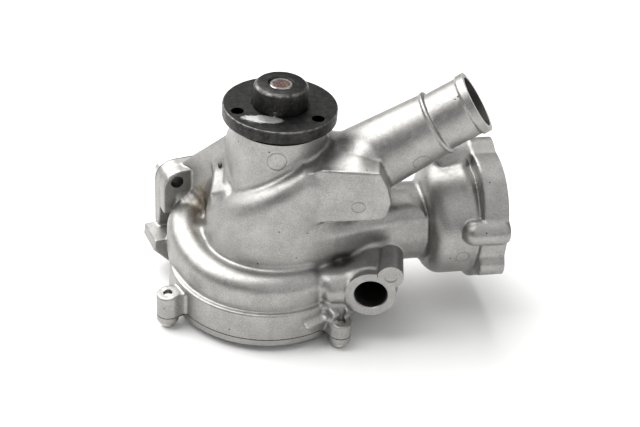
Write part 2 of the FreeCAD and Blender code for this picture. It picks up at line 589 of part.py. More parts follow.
def screw_lugs(name, low, high=None):
    """Lugs for the cover screws, each joined to the rim by a web; `high` replaces their own tops."""
    items = []
    for i, (azimuth, top) in enumerate(SCREWS):
        peak = high or f"dim.{top}"
        x, y = screw_spot(azimuth)
        items.append(cylinder(f"{name}_boss_{i + 1}", "dim.screw_boss_radius", low, peak, x, y))
        web = block(f"{name}_web_{i + 1}", azimuth,
                    ("dim.rim_radius - dim.screw_boss_radius", "dim.screw_circle_radius"),
                    ("-dim.screw_boss_radius", "dim.screw_boss_radius"), low, peak,
                    x="dim.ring_offset")
        items.append(web)
    return items


def housing_hollows():
    """Every bore, passage and hole of the housing."""
    ring_x = "dim.ring_offset"
    race_low = "dim.race_top - dim.race_length"
    hollows = [cylinder("bearing_bore", "dim.race_radius", race_low, "dim.tower_top"),
               cylinder("drain_bore", "dim.drain_radius", "dim.seal_bore_top", race_low),
               cylinder("seal_bore", "dim.seal_bore_radius", "dim.seal_boss_bottom - dim.overrun",
                        "dim.seal_bore_top"),
               cylinder("impeller_cavity", "dim.cavity_radius", "dim.rim_bottom", "dim.volute_level",
                        ring_x),
               torus("volute_channel", "dim.volute_radius", "dim.volute_channel_radius",
                     "dim.volute_level", ring_x)]
    hollows[-1].Placement.Rotation = Rotation(Vector(0, 1, 0), SIZES["volute_tilt"])
    round_room = cylinder("suction_room", "dim.suction_radius", "dim.volute_level", "dim.suction_top")
    seal_boss = cylinder("seal_boss", "dim.seal_boss_radius", "dim.seal_boss_bottom",
                         "dim.suction_top")
    hollows.append(cut("suction_annulus", round_room, seal_boss))
    hollows += passage_hollows() + hole_hollows()
    return hollows


def passage_hollows():
    """Water passages: hose pipe, drop to the duct, duct, chamber, side port and outlet."""
    pipe = rod("pipe_bore", "dim.pipe_bore_radius", "dim.pipe_bore_start",
               "dim.pipe_length + dim.overrun",
               SIZES["pipe_azimuth"], SIZES["pipe_rise"], z="dim.pipe_start")
    turn = math.radians(SIZES["pipe_azimuth"])
    drop = cylinder("drop_bore", "dim.drop_radius", "dim.duct_level", "dim.drop_top",
                    f"dim.drop_distance * {math.cos(turn):.9f}",
                    f"dim.drop_distance * {math.sin(turn):.9f}")
    duct = rod("duct_bore", "dim.duct_bore_radius", "dim.duct_bore_start",
               "dim.chamber_floor + dim.overrun", SIZES["duct_azimuth"], 0, z="dim.duct_level")
    chamber = rod("chamber_bore", "dim.chamber_bore_radius", "dim.chamber_floor",
                  "dim.flange_face + dim.overrun", **chamber_line())
    port = rod("port_bore", "dim.port_bore_radius", "dim.port_bore_back",
               "dim.port_face + dim.overrun", -90, 0, x="dim.port_x", z="dim.port_level")
    outlet = block("outlet_bore", SIZES["mount_azimuth"],
                   ("-dim.outlet_half_width", "dim.outlet_half_width"),
                   ("dim.outlet_bore_front", "dim.mount_distance + dim.overrun"),
                   "dim.outlet_low", "dim.outlet_top")
    return [pipe, drop, duct, chamber, port, outlet]


def lug_bolt_line(place):
    """Axis of one mounting bolt, square to the mounting face."""
    turn = math.radians(SIZES["mount_azimuth"])
    return {"azimuth": SIZES["mount_azimuth"] + 90, "rise": 0, "z": "dim.lug_hole_level",
            "x": f"{place} * {math.cos(turn):.9f}", "y": f"{place} * {math.sin(turn):.9f}"}


def hole_hollows():
    """Fastener holes and the weep hole."""
    holes = [rod(f"flange_hole_{i + 1}", "dim.flange_hole_radius",
                 "dim.flange_face - dim.flange_hole_depth", "dim.flange_face + dim.overrun",
                 **face_line(angle, f"dim.{reach}"))
             for i, (angle, reach, _, _) in enumerate(FLANGE_BOLTS)]
    for side in ("left", "right"):
        holes.append(rod(f"{side}_lug_hole", "dim.lug_hole_radius", "dim.lug_hole_start",
                         "dim.mount_distance + dim.overrun", **lug_bolt_line(f"dim.lug_hole_{side}")))
    for i, (azimuth, _) in enumerate(SCREWS):
        x, y = screw_spot(azimuth)
        holes.append(cylinder(f"screw_hole_{i + 1}", "dim.screw_hole_radius",
                              "dim.rim_bottom - dim.overrun", "dim.screw_hole_top", x, y))
    holes.append(rod("port_screw_dimple", "dim.dimple_radius", "dim.port_face - dim.dimple_depth",
                     "dim.port_face + dim.overrun", -90, 0, x="dim.port_screw_x",
                     z="dim.port_screw_level"))
    holes.append(rod("weep_hole", "dim.weep_radius", "dim.weep_start", "dim.weep_end",
                     SIZES["weep_azimuth"], SIZES["weep_rise"], z="dim.weep_level"))
    return holes


def housing():
    """The one-piece aluminium casting."""
    castings = (central_castings() + pipe_castings() + chamber_castings() + port_castings()
                + mount_castings()
                + screw_lugs("housing", "dim.rim_bottom"))
    return cut("housing", fuse("housing_casting", castings), fuse("housing_hollows", housing_hollows()))


# ---------------------------------------------------------------- covers, gaskets and fasteners

def rim_sheet(name, low, high, inner):
    """Flat sheet with the rim's outline, its screw lugs and holes; `inner` opens its middle."""
    ring_x = "dim.ring_offset"
    pieces = [cylinder(name + "_disc", "dim.rim_radius", low, high, ring_x)]
    pieces += screw_lugs(name, low, high)
    holes = []
    for i, (azimuth, _) in enumerate(SCREWS):
        x, y = screw_spot(azimuth)
        holes.append(cylinder(f"{name}_hole_{i + 1}", "dim.screw_hole_radius",
                              f"{low} - dim.overrun", f"{high} + dim.overrun", x, y))
    if inner:
        holes.append(cylinder(name + "_window", inner, f"{low} - dim.overrun",
                              f"{high} + dim.overrun", ring_x))
    return cut(name, fuse(name + "_blank", pieces), fuse(name + "_holes", holes))


def rear_cover():
    """Flat cover under the impeller, with lugs for its screws."""
    top = "dim.rim_bottom - dim.cover_gasket_thickness"
    return rim_sheet("rear_cover", f"{top} - dim.cover_thickness", top, None)


def cover_gasket():
    """Thin paper gasket between the housing and its rear cover."""
    return rim_sheet("cover_gasket", "dim.rim_bottom - dim.cover_gasket_thickness", "dim.rim_bottom",
                     "dim.cavity_radius")


def cover_screws():
    """Pan-head screws up through the cover into the housing's bosses."""
    under = "dim.rim_bottom - dim.cover_gasket_thickness - dim.cover_thickness"
    screws = []
    for i, (azimuth, top) in enumerate(SCREWS):
        x, y = screw_spot(azimuth)
        shank = cylinder(f"screw_shank_{i + 1}", "dim.screw_radius", under,
                         f"dim.{top} - dim.screw_tip_gap", x, y)
        head = cylinder(f"screw_head_{i + 1}", "dim.screw_head_radius",
                        f"{under} - dim.screw_head_height", under, x, y)
        screws.append(fuse(f"cover_screw_{i + 1}", [shank, head]))
    return group("cover_screws", screws)


def mount_sheet(name, near, thickness):
    """Flat sheet with the mounting flange's outline, bolt holes and outlet window."""
    turn = Rotation(Vector(0, 0, 1), SIZES["mount_azimuth"])
    blank = plate(name + "_blank", [
        ("dim.mount_left", "dim.mount_low"), ("dim.mount_right", "dim.mount_low"),
        ("dim.mount_right", "dim.lug_top"), ("dim.right_lug_side", "dim.lug_top"),
        ("dim.right_lug_side", "dim.mount_top"), ("dim.left_lug_side", "dim.mount_top"),
        ("dim.left_lug_side", "dim.lug_top"), ("dim.mount_left", "dim.lug_top")], thickness)
    far = turn * Vector(0, 1, 0)
    bind(blank, base_x=f"({near} + {thickness}) * {far.x:.9f}",
         base_y=f"({near} + {thickness}) * {far.y:.9f}")
    blank.Placement.Rotation = turn
    limits = (f"{near} - dim.overrun", f"{near} + {thickness} + dim.overrun")
    holes = [rod(f"{name}_{side}_hole", "dim.lug_hole_radius", *limits,
                 **lug_bolt_line(f"dim.lug_hole_{side}")) for side in ("left", "right")]
    holes.append(block(name + "_window", SIZES["mount_azimuth"],
                       ("-dim.outlet_half_width", "dim.outlet_half_width"), limits,
                       "dim.outlet_low", "dim.outlet_top"))
    return cut(name, blank, fuse(name + "_openings", holes))


def mounting_gasket():
    """Gasket on the mounting face."""
    return mount_sheet("mounting_gasket", "dim.mount_distance", "dim.gasket_thickness")


def rear_plate():
    """Spacer plate behind the gasket, which clears the rim."""
    return mount_sheet("rear_plate", "dim.mount_distance + dim.gasket_thickness",
                       "dim.rear_plate_thickness")


def check(item):
    """Stop when an item failed or holds no valid shape."""
    if item.Shape.isNull() or not item.Shape.isValid() or item.Shape.Volume <= 0:
        raise RuntimeError(f"{item.Label} has no valid shape")


def main():
    nodes = [housing(), rear_cover(), cover_gasket(), cover_screws(), mounting_gasket(),
             rear_plate(), drive_hub(), shaft(), impeller(), slinger(), bearing_outer_race()]
    nodes += seal_seat() + ball_row() + roller_row() + bearing_seals() + seal_fixed_half()
    doc.recompute()
    for item in doc.Objects:
        if "Invalid" in item.State or "Error" in item.State:
            raise RuntimeError(f"{item.Label} failed: {item.State}")
    os.makedirs("parts", exist_ok=True)
    for node in nodes:
        check(node)
    for node in nodes:
        node.Shape.exportStep(f"parts/{node.Label}.step")
        print(f"{node.Label}: {len(node.Shape.Solids)} solid(s), {node.Shape.Volume / 1000:.1f} cm3")


main()
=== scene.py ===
"""Looks of the water pump: blended castings, turned hub and shaft, screws, materials and studio.

Shapes are worked out in millimetres in the frame's own axes and written to meshes in metres.
"""
import json
import math

import bpy
import numpy as np
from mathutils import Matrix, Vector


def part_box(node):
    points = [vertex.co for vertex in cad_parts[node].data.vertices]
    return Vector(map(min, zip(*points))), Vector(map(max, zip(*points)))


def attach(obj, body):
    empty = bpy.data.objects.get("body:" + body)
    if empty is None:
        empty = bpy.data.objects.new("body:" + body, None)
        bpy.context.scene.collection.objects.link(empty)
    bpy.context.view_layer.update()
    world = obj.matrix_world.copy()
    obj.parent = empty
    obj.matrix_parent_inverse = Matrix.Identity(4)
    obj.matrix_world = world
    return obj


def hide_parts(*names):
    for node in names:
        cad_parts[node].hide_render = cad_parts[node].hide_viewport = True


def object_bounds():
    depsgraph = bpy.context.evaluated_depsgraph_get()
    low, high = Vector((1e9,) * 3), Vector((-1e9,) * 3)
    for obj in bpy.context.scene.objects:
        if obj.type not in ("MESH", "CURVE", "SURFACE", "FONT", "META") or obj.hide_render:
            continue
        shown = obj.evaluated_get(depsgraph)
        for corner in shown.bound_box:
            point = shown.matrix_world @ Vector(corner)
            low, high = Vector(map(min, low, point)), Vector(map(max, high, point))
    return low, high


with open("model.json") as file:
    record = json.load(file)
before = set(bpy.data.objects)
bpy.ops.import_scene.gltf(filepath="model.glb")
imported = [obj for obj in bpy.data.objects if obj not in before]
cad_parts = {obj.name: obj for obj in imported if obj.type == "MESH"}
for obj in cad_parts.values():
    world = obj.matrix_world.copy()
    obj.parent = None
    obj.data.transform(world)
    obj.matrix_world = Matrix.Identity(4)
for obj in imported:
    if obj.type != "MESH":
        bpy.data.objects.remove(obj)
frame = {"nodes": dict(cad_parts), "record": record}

import openvdb as vdb
from mathutils import Matrix, Vector

CAD_BOX = [list(corner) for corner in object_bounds()]
MM = 0.001
CELL = 0.8  # grid step of the castings, mm
FAR = 30.0  # distance written where no shape is near, mm

# --- driving sizes, mm and degrees
STOCK = 4.0  # cast length left on, then cut off at machined faces
CUT_CLEAR = 2.0  # how far a cutter starts outside the metal
# tower, body, volute and rim
TOWER_TOP, TOWER_LOW, TOWER_RADIUS, TOWER_DRAFT = -13.0, -105.0, 31.0, 0.5
BODY_RADIUS, BODY_FLAT, BODY_LOW = 46.0, -27.0, -112.0
SHOULDER_LEVEL, SHOULDER_SLOPE, SHOULDER_ROUNDING = -39.5, 33.8, 13.0
RING_X = -4.8  # centre of volute, rim and cover
RIM_LOW, RIM_TOP, RIM_RADIUS = -141.0, -121.0, 66.0
DECK_LOW, DECK_TOP, DECK_RADIUS = -122.0, -106.0, 60.5
VOLUTE_LEVEL, VOLUTE_RADIUS, VOLUTE_SECTION = -110.0, 50.5, 11.5
VOLUTE_TONGUE, VOLUTE_MOUTH, VOLUTE_BLUNT = -42.0, 100.0, 12.0
SWING_START, SWING_SPAN, SWING_OUT, SWING_RISE = 214.0, 52.0, 8.5, 5.5
CHANNEL_SECTION, CHANNEL_LOW = 7.0, -116.0
CAVITY_RADIUS, CAVITY_TOP = 56.0, -110.0
SUCTION_RADIUS, SUCTION_TOP, SEAL_BOSS_RADIUS = 40.0, -79.0, 23.0
RACE_RADIUS, DRAIN_RADIUS, SEAL_RADIUS = 19.0, 17.5, 18.5
RACE_LOW, DRAIN_LOW = -71.0, -81.0
# hose pipe, its gusset pad and the drop to the duct
PIPE_AZIMUTH, PIPE_RISE, PIPE_START, PIPE_LENGTH = 2.8, 35.6, -80.0, 153.7
CONE_START, CONE_END, CONE_RADIUS, CONE_END_RADIUS = 24.0, 123.4, 26.5, 21.2
TUBE_START, TUBE_RADIUS, LIP_LENGTH, LIP_RADIUS = 120.0, 19.6, 5.5, 20.7
BEAD_START, BEAD_END, BEAD_RADIUS = 123.0, 125.7, 22.1
PIPE_BORE_START, PIPE_BORE = 45.0, 17.2
GUSSET_BACK, GUSSET_DEPTH = 5.0, 39.8
GUSSET_OUTLINE = [(8, -68), (31, -65), (69, -59.5), (72.5, -57), (74.5, -47), (71.5, -36),
                  (66, -26), (30, -27), (8, -38)]
DROP_DISTANCE, DROP_WALL, DROP_BORE, DROP_HEIGHT = 54.0, 18.0, 14.0, 48.0
# duct, thermostat chamber and flange
DUCT_AZIMUTH, DUCT_LEVEL = 13.5, -96.0
DUCT_START, DUCT_END, DUCT_RADIUS, DUCT_BORE = 10.0, 112.0, 27.0, 22.0
DUCT_BORE_START, DUCT_BORE_END = 31.0, 109.0
WEB_LOW, WEB_HEIGHT = -102.0, 32.0
WEB_OUTLINE = [(10, -41), (34, -39), (88, -26), (100, -26), (100, 0), (10, 0)]
CHAMBER_SIDE, CHAMBER_LEVEL, CHAMBER_START, CHAMBER_RADIUS = -6.0, -91.5, 102.0, 38.0
CHAMBER_BORE, CHAMBER_BORE_DEPTH, SEAT_RADIUS, SEAT_DEPTH = 34.0, 39.5, 36.4, 0.2
FLANGE_FACE, FLANGE_DEPTH, FLANGE_RADIUS, BOLT_BOSS_LENGTH = 150.0, 17.0, 41.5, 31.0
UPPER_BOLT, UPPER_BOLT_LENGTH = (71, 43.8), 42.0
SIDE_BOLTS = [(161, 41.5), (325, 41.5)]
FLANGE_HOLE, FLANGE_HOLE_DEPTH = 3.4, 22.0
# side port
PORT_X, PORT_LEVEL, PORT_FACE = 68.3, -112.0, -46.0
PORT_RING, PORT_RING_BACK, PORT_BORE, PORT_MOUTH, PORT_DEPTH = 16.8, -30.0, 10.8, 12.8, 45.0
PORT_SCREW_X, PORT_SCREW_LEVEL, PORT_BOSS, PORT_DIMPLE = 80.1, -96.4, 8.3, 4.2
# mounting face
MOUNT_AZIMUTH, MOUNT_FACE = 27.0, 65.0
GASKET_FACE, PLATE_FACE = 66.0, 71.0
MOUNT_SPAN, MOUNT_LEVELS, MOUNT_CORNER = (-62.5, 52), (-119.5, -70.5), 13.0
WINDOW_SPAN, WINDOW_LEVELS = (-16, 16), (-117, -104)
LUG_LEVEL, LUG_HOLES, LUG_HOLE = -78.9, (-52.2, 42.0), 4.4
WING_OUTLINE = [(-46, -119), (-71, -119), (-72, -127), (-61, -139), (-46, -139)]
WING_DEPTH = 24.0
RIB_AZIMUTH, RIB_OFFSET, RIB_THICKNESS = 142.4, 16.6, 8.0
RIB_OUTLINE = [(10, -19), (22, -21), (72, -69), (72, -98), (10, -98)]
WEEP_AZIMUTH, WEEP_RISE, WEEP_START, WEEP_RADIUS = 173.0, 47.6, -94.6, 1.9
WEEP_MOUTH = (-36.9, 4.0, -54.0)
# rear cover, its screws and the flat beside the port
COVER_TOP, COVER_LOW = -141.8, -147.0
SCREW_CIRCLE, SCREW_TOP, LOW_SCREW_TOP, SCREW_BOSS, SCREW_HOLE = 75.5, -125.0, -131.5, 7.5, 3.1
SCREWS = [(5, SCREW_TOP), (50, SCREW_TOP), (95, SCREW_TOP), (140, SCREW_TOP), (216, SCREW_TOP),
          (317, LOW_SCREW_TOP)]
FACET_AZIMUTH, FACET_LEAN, FACET_RADIUS, FACET_LEVEL, FACET_DEPTH = -52, 18, 69.6, -133.0, 14.0
FACET_OUTLINE = [(-13, 2), (9.3, 5), (10.8, 3.8), (10.8, -7.4), (0, -7.4), (-8, -4.5)]
# drive hub
HUB_THICKNESS, HUB_SKIRT = 8.6, 14.0
HUB_HOLE_CIRCLE, HUB_HOLE, HUB_HOLES = 29.5, 3.4, 3
# surface marks: places in mm, and radii
EJECTOR_MARKS = [((1.4, -31, -24.6), 6.2), ((54.9, -34.8, -51.0), 4.3),
                 ((93.4, -15.2, -26.5), 5.8), ((128.1, -10.0, -98.0), 6.0)]
STAIN_PLACE, STAIN_RADIUS = (-50, 13, -87), 17.0
SCRAPE_PLACE, SCRAPE_RADIUS, SCRAPE_SHAPE = (-9.3, -21.8, 0.2), 23.0, (1, 2.7, 1)
RUST_PLACE, RUST_RADIUS = (0, 0, 15), 7.2


# --- directions and places

def level_axis(azimuth):
    """Level unit vector at an azimuth."""
    return np.array([math.cos(math.radians(azimuth)), math.sin(math.radians(azimuth)), 0.0])


def slanted_axis(azimuth, rise):
    """Unit vector at an azimuth and a rise."""
    flat = level_axis(azimuth) * math.cos(math.radians(rise))
    return flat + np.array([0.0, 0.0, math.sin(math.radians(rise))])


UP = np.array([0.0, 0.0, 1.0])
PIPE = slanted_axis(PIPE_AZIMUTH, PIPE_RISE)


def pipe_at(distance):
    """Point on the hose pipe's axis."""
    return UP * PIPE_START + PIPE * distance


def chamber_at(distance, angle=0.0, reach=0.0):
    """Point in the thermostat chamber: distance along it, then angle and reach off its axis."""
    side = CHAMBER_SIDE + reach * math.cos(math.radians(angle))
    level = CHAMBER_LEVEL + reach * math.sin(math.radians(angle))
    return level_axis(DUCT_AZIMUTH) * distance + level_axis(DUCT_AZIMUTH + 90) * side + UP * level


def mount_at(across, distance, level):
    """Point near the mounting face."""
    return (level_axis(MOUNT_AZIMUTH) * across + level_axis(MOUNT_AZIMUTH + 90) * distance
            + UP * level)


def ring_at(azimuth, radius, level):
    """Point about the ring's centre."""
    return level_axis(azimuth) * radius + np.array([RING_X, 0.0, level])


# --- shapes as distances

def box_distance(gaps, edge):
    """Distance to a convex shape from its signed gaps, with its edges rounded."""
    outside = np.sqrt(sum(np.square(np.maximum(gap + edge, 0)) for gap in gaps))
    inside = gaps[0] + edge
    for gap in gaps[1:]:
        inside = np.maximum(inside, gap + edge)
    return outside + np.minimum(inside, 0) - edge


def rod(start, end, radius, end_radius=None, edge=1.0):
    """Round bar or taper between two points."""
    start, end = np.asarray(start, float), np.asarray(end, float)
    end_radius = radius if end_radius is None else end_radius
    length = np.linalg.norm(end - start)
    axis = (end - start) / length
    slope = (end_radius - radius) / length
    lean = 1 / math.sqrt(1 + slope * slope)

    def distance(x, y, z):
        x, y, z = x - start[0], y - start[1], z - start[2]
        along = x * axis[0] + y * axis[1] + z * axis[2]
        out = np.sqrt(np.maximum(x * x + y * y + z * z - along * along, 0))
        side = (out - radius - slope * along) * lean
        cap = np.abs(along - length / 2) - length / 2
        return box_distance([side, cap], edge)

    reach = max(radius, end_radius)
    return distance, np.minimum(start, end) - reach, np.maximum(start, end) + reach


def slab(centre, axes, half, edge=1.0):
    """Box about a centre, with three unit axes and half sizes."""
    centre, axes = np.asarray(centre, float), np.asarray(axes, float)

    def distance(x, y, z):
        x, y, z = x - centre[0], y - centre[1], z - centre[2]
        gaps = [np.abs(x * a[0] + y * a[1] + z * a[2]) - h for a, h in zip(axes, half)]
        return box_distance(gaps, edge)

    reach = np.abs(axes.T) @ np.asarray(half, float)
    return distance, centre - reach, centre + reach


def outline_distance(u, v, corners):
    """Signed distance to a closed outline in its plane."""
    nearest, inside = None, None
    for (u0, v0), (u1, v1) in zip(corners, corners[1:] + corners[:1]):
        du, dv = u1 - u0, v1 - v0
        share = np.clip(((u - u0) * du + (v - v0) * dv) / (du * du + dv * dv), 0, 1)
        gap = np.square(u - u0 - share * du) + np.square(v - v0 - share * dv)
        crossed = ((v0 > v) != (v1 > v)) & (u < (v - v0) * du / (dv or 1e-9) + u0)
        nearest = gap if nearest is None else np.minimum(nearest, gap)
        inside = crossed if inside is None else inside ^ crossed
    return np.where(inside, -1, 1) * np.sqrt(nearest)


def plate(origin, u_axis, v_axis, corners, thickness, edge=1.0, corner=0.0):
    """Flat outline thickened from its plane; `corner` rounds the outline's own corners."""
    origin = np.asarray(origin, float)
    w_axis = np.cross(u_axis, v_axis)
    middle = origin + w_axis * thickness / 2

    def distance(x, y, z):
        x, y, z = x - middle[0], y - middle[1], z - middle[2]
        u, v, w = (x * a[0] + y * a[1] + z * a[2] for a in (u_axis, v_axis, w_axis))
        side = outline_distance(u, v, corners) - corner
        return box_distance([side, np.abs(w) - thickness / 2], edge)

    spots = np.array([origin + u_axis * u + v_axis * v for u, v in corners])
    spots = np.vstack([spots, spots + w_axis * thickness])
    return distance, spots.min(0) - corner, spots.max(0) + corner


def body_shape():
    """Drum about the shaft whose sloping top has a broad rounded shoulder."""
    slope = math.radians(SHOULDER_SLOPE)

    def distance(x, y, z):
        side = np.hypot(x, y) - BODY_RADIUS
        top = (z - SHOULDER_LEVEL) * math.cos(slope) - x * math.sin(slope)
        crown = -join(-side, -np.maximum(top, z - BODY_FLAT), SHOULDER_ROUNDING)
        return np.maximum(crown, BODY_LOW - z)

    reach, ceiling = BODY_RADIUS + 1, BODY_FLAT + 7
    return distance, np.array([-reach, -reach, BODY_LOW]), np.array([reach, reach, ceiling])


def volute_shape(section=VOLUTE_SECTION, low=RIM_TOP - 1):
    """Arched ring that swings out and rises towards the outlet and ends bluntly beside the port."""

    def distance(x, y, z):
        x = x - RING_X
        azimuth = np.degrees(np.arctan2(y, x))
        azimuth = np.where(azimuth > (VOLUTE_TONGUE + VOLUTE_MOUTH) / 2, azimuth, azimuth + 360)
        swing = np.clip((SWING_START - azimuth) / SWING_SPAN, 0, 1)
        swing = swing * swing * (3 - 2 * swing)
        out = np.hypot(x, y) - VOLUTE_RADIUS - SWING_OUT * swing
        rise = np.maximum(z - VOLUTE_LEVEL - SWING_RISE * swing, 0)
        beyond = np.maximum(azimuth - (360 + VOLUTE_TONGUE) + VOLUTE_BLUNT, 0)
        beyond = np.radians(beyond) * VOLUTE_RADIUS
        gap = np.sqrt(out * out + rise * rise + beyond * beyond) - section
        return np.maximum(gap, low - z)

    reach = VOLUTE_RADIUS + section + 10
    return (distance, np.array([RING_X - reach, -reach, low]),
            np.array([RING_X + reach, reach, VOLUTE_LEVEL + 20]))


def join(a, b, fillet):
    """Union of two distances with a round fillet."""
    if fillet <= 0:
        return np.minimum(a, b)
    corner = np.hypot(np.maximum(fillet - a, 0), np.maximum(fillet - b, 0))
    return np.maximum(fillet, np.minimum(a, b)) - corner


class Clay:
    """Solid kept as signed distances on a grid, joined and carved with fillets, then meshed."""

    def __init__(self, low, high):
        self.low = np.asarray(low, float)
        self.high = np.asarray(high, float)
        size = np.ceil((self.high - self.low) / CELL).astype(int) + 1
        self.field = np.full(size, FAR, np.float32)

    def window(self, shape, margin):
        """Part of the grid near a shape, and the shape's distances there."""
        distance, low, high = shape
        first = np.floor((low - margin - self.low) / CELL).astype(int).clip(0)
        last = np.ceil((high + margin - self.low) / CELL).astype(int) + 1
        last = np.minimum(last, self.field.shape)
        spans = [np.arange(a, b) * CELL + o for a, b, o in zip(first, last, self.low)]
        x, y, z = np.ix_(*spans)
        cells = tuple(slice(a, b) for a, b in zip(first, last))
        return cells, distance(x, y, z).astype(np.float32)

    def add(self, shape, fillet=2.0):
        """Join a shape on."""
        cells, near = self.window(shape, fillet + 3 * CELL)
        self.field[cells] = join(self.field[cells], near, fillet)

    def carve(self, shape, fillet=0.8):
        """Take a shape away."""
        cells, near = self.window(shape, fillet + 3 * CELL)
        self.field[cells] = -join(-self.field[cells], near, fillet)

    def merge(self, other, fillet):
        """Join another solid kept on the same grid."""
        self.field = join(self.field, other.field, fillet)

    def mesh(self, name):
        """Closed mesh of the solid, in metres."""
        band = np.clip(self.field, -3 * CELL, 3 * CELL).astype(np.float32)
        grid = vdb.FloatGrid(3 * CELL)
        grid.copyFromArray(band)
        points, quads = grid.convertToQuads(isovalue=0.0)
        points = (points.astype(float) * CELL + self.low) * MM
        return new_object(name, points, quads.tolist())


# --- meshes

def new_object(name, points, faces):
    """Linked mesh object from points in metres."""
    mesh = bpy.data.meshes.new(name)
    mesh.from_pydata([tuple(p) for p in points], [], faces)
    mesh.update()
    item = bpy.data.objects.new(name, mesh)
    bpy.context.scene.collection.objects.link(item)
    return item


def basis(axis):
    """Two unit vectors square to an axis."""
    axis = np.asarray(axis, float)
    helper = UP if abs(axis[2]) < 0.9 else np.array([1.0, 0.0, 0.0])
    first = np.cross(helper, axis)
    first /= np.linalg.norm(first)
    return first, np.cross(axis, first)


def turned(name, profile, origin=(0, 0, 0), axis=UP, segments=128):
    """Solid turned from a profile of (radius, distance along the axis), both ends on the axis."""
    axis = np.asarray(axis, float)
    first, second = basis(axis)
    origin = np.asarray(origin, float)
    points, rows = [], []
    for radius, along in profile:
        centre = origin + axis * along
        if radius == 0:
            rows.append([len(points)])
            points.append(centre)
            continue
        rows.append(list(range(len(points), len(points) + segments)))
        for i in range(segments):
            angle = 2 * math.pi * i / segments
            points.append(centre + radius * (first * math.cos(angle) + second * math.sin(angle)))
    faces = []
    for near, far in zip(rows, rows[1:]):
        for i in range(segments):
            k = (i + 1) % segments
            if len(near) == 1:
                faces.append((near[0], far[k], far[i]))
            elif len(far) == 1:
                faces.append((near[i], near[k], far[0]))
            else:
                faces.append((near[i], near[k], far[k], far[i]))
    return new_object(name, np.array(points) * MM, faces)


def pin_cutter(start, end, radius, chamfer=0.0, segments=64):
    """Cutter for a round hole, with an optional chamfer at its start."""
    start, end = np.asarray(start, float), np.asarray(end, float)
    length = np.linalg.norm(end - start)
    mouth = [(radius, 0)]
    if chamfer:
        mouth = [(radius + chamfer + 1, 0), (radius + chamfer, 1), (radius, 1 + chamfer)]
    profile = [(0, 0), *mouth, (radius, length), (0, length)]
    return turned("cutter", profile, start, (end - start) / length, segments)


BLOCK_FACES = [(0, 3, 2, 1), (4, 5, 6, 7), (0, 1, 5, 4), (1, 2, 6, 5), (2, 3, 7, 6), (3, 0, 4, 7)]


def half_space(point, normal, size=400.0):
    """Cutter that removes everything beyond a plane."""
    first, second = basis(normal)
    point, normal = np.asarray(point, float), np.asarray(normal, float)
    points = [point + first * a * size + second * b * size + normal * c * size
              for c in (0, 1) for a, b in ((-1, -1), (1, -1), (1, 1), (-1, 1))]
    return new_object("cutter", np.array(points) * MM, BLOCK_FACES)


def cut(item, cutters):
    """Item with every cutter taken away."""
    for cutter in cutters:
        step = item.modifiers.new("cut", "BOOLEAN")
        step.operation = "DIFFERENCE"
        step.solver = "MANIFOLD"
        step.object = cutter
    bake_modifiers(item)
    for cutter in cutters:
        bpy.data.objects.remove(cutter)
    return item


def bake_modifiers(item):
    """Replace an item's mesh by its modified one."""
    graph = bpy.context.evaluated_depsgraph_get()
    mesh = bpy.data.meshes.new_from_object(item.evaluated_get(graph))
    item.modifiers.clear()
    old = item.data
    item.data = mesh
    bpy.data.meshes.remove(old)
    return item


def soften(item, angle=32):
    """Smooth shading that stays sharp at edges above an angle."""
    item.data.shade_smooth()
    item.data.set_sharp_from_angle(angle=math.radians(angle))
    return item


def finish_piece(item, material, body, node):
    """Give a piece its material in a slot and its body, and hide the CAD node that it stands for.
    """
    item.data.materials.clear()
    item.data.materials.append(material)
    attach(item, body)
    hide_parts(node)


# --- housing

def add_body(clay):
    """Tower, shouldered body, volute, deck, rim and the web towards the duct."""
    clay.add(rod((0, 0, TOWER_LOW), (0, 0, TOWER_TOP + STOCK), TOWER_RADIUS + TOWER_DRAFT,
                 TOWER_RADIUS, edge=0.5), fillet=0)
    clay.add(body_shape(), fillet=4)
    clay.add(volute_shape(), fillet=4)
    clay.add(rod((RING_X, 0, DECK_LOW), (RING_X, 0, DECK_TOP), DECK_RADIUS, edge=3), fillet=1)
    clay.add(rod((RING_X, 0, RIM_LOW - STOCK), (RING_X, 0, RIM_TOP), RIM_RADIUS - 0.05, edge=1.4),
             fillet=1.5)
    clay.add(rod(ring_at(125, 49, -105), ring_at(192, 44, -105), 7, edge=6), fillet=6)
    duct = level_axis(DUCT_AZIMUTH)
    clay.add(plate(UP * WEB_LOW, duct, level_axis(DUCT_AZIMUTH + 90), WEB_OUTLINE, WEB_HEIGHT,
                   edge=11), fillet=8)


def drop_at(height):
    """Point on the upright drop from the hose pipe to the duct."""
    return level_axis(PIPE_AZIMUTH) * DROP_DISTANCE + UP * (DUCT_LEVEL + height)


def duct_at(distance):
    """Point on the duct's axis."""
    return level_axis(DUCT_AZIMUTH) * distance + UP * DUCT_LEVEL


def add_pipe(clay):
    """Tapered hose pipe, its bead and lip, the flat gusset pad in front and the drop below."""
    mouth = pipe_at(PIPE_LENGTH + STOCK)
    clay.add(rod(pipe_at(CONE_START), pipe_at(CONE_END), CONE_RADIUS, CONE_END_RADIUS, edge=0.8),
             fillet=7)
    clay.add(plate((0, GUSSET_BACK, 0), np.array([1.0, 0, 0]), UP, GUSSET_OUTLINE, GUSSET_DEPTH,
                   edge=1.0, corner=0.8), fillet=2.2)
    clay.add(rod((22, -17, -49), (62, -17, -37), 16, edge=8), fillet=9)
    clay.add(rod(pipe_at(TUBE_START), mouth, TUBE_RADIUS, edge=0.5), fillet=0.5)
    clay.add(rod(pipe_at(BEAD_START), pipe_at(BEAD_END), BEAD_RADIUS, edge=1.3), fillet=0.3)
    clay.add(rod(pipe_at(PIPE_LENGTH - LIP_LENGTH), mouth, LIP_RADIUS, edge=0.6), fillet=0.6)
    clay.add(rod(drop_at(0), drop_at(DROP_HEIGHT), DROP_WALL, edge=3), fillet=6)


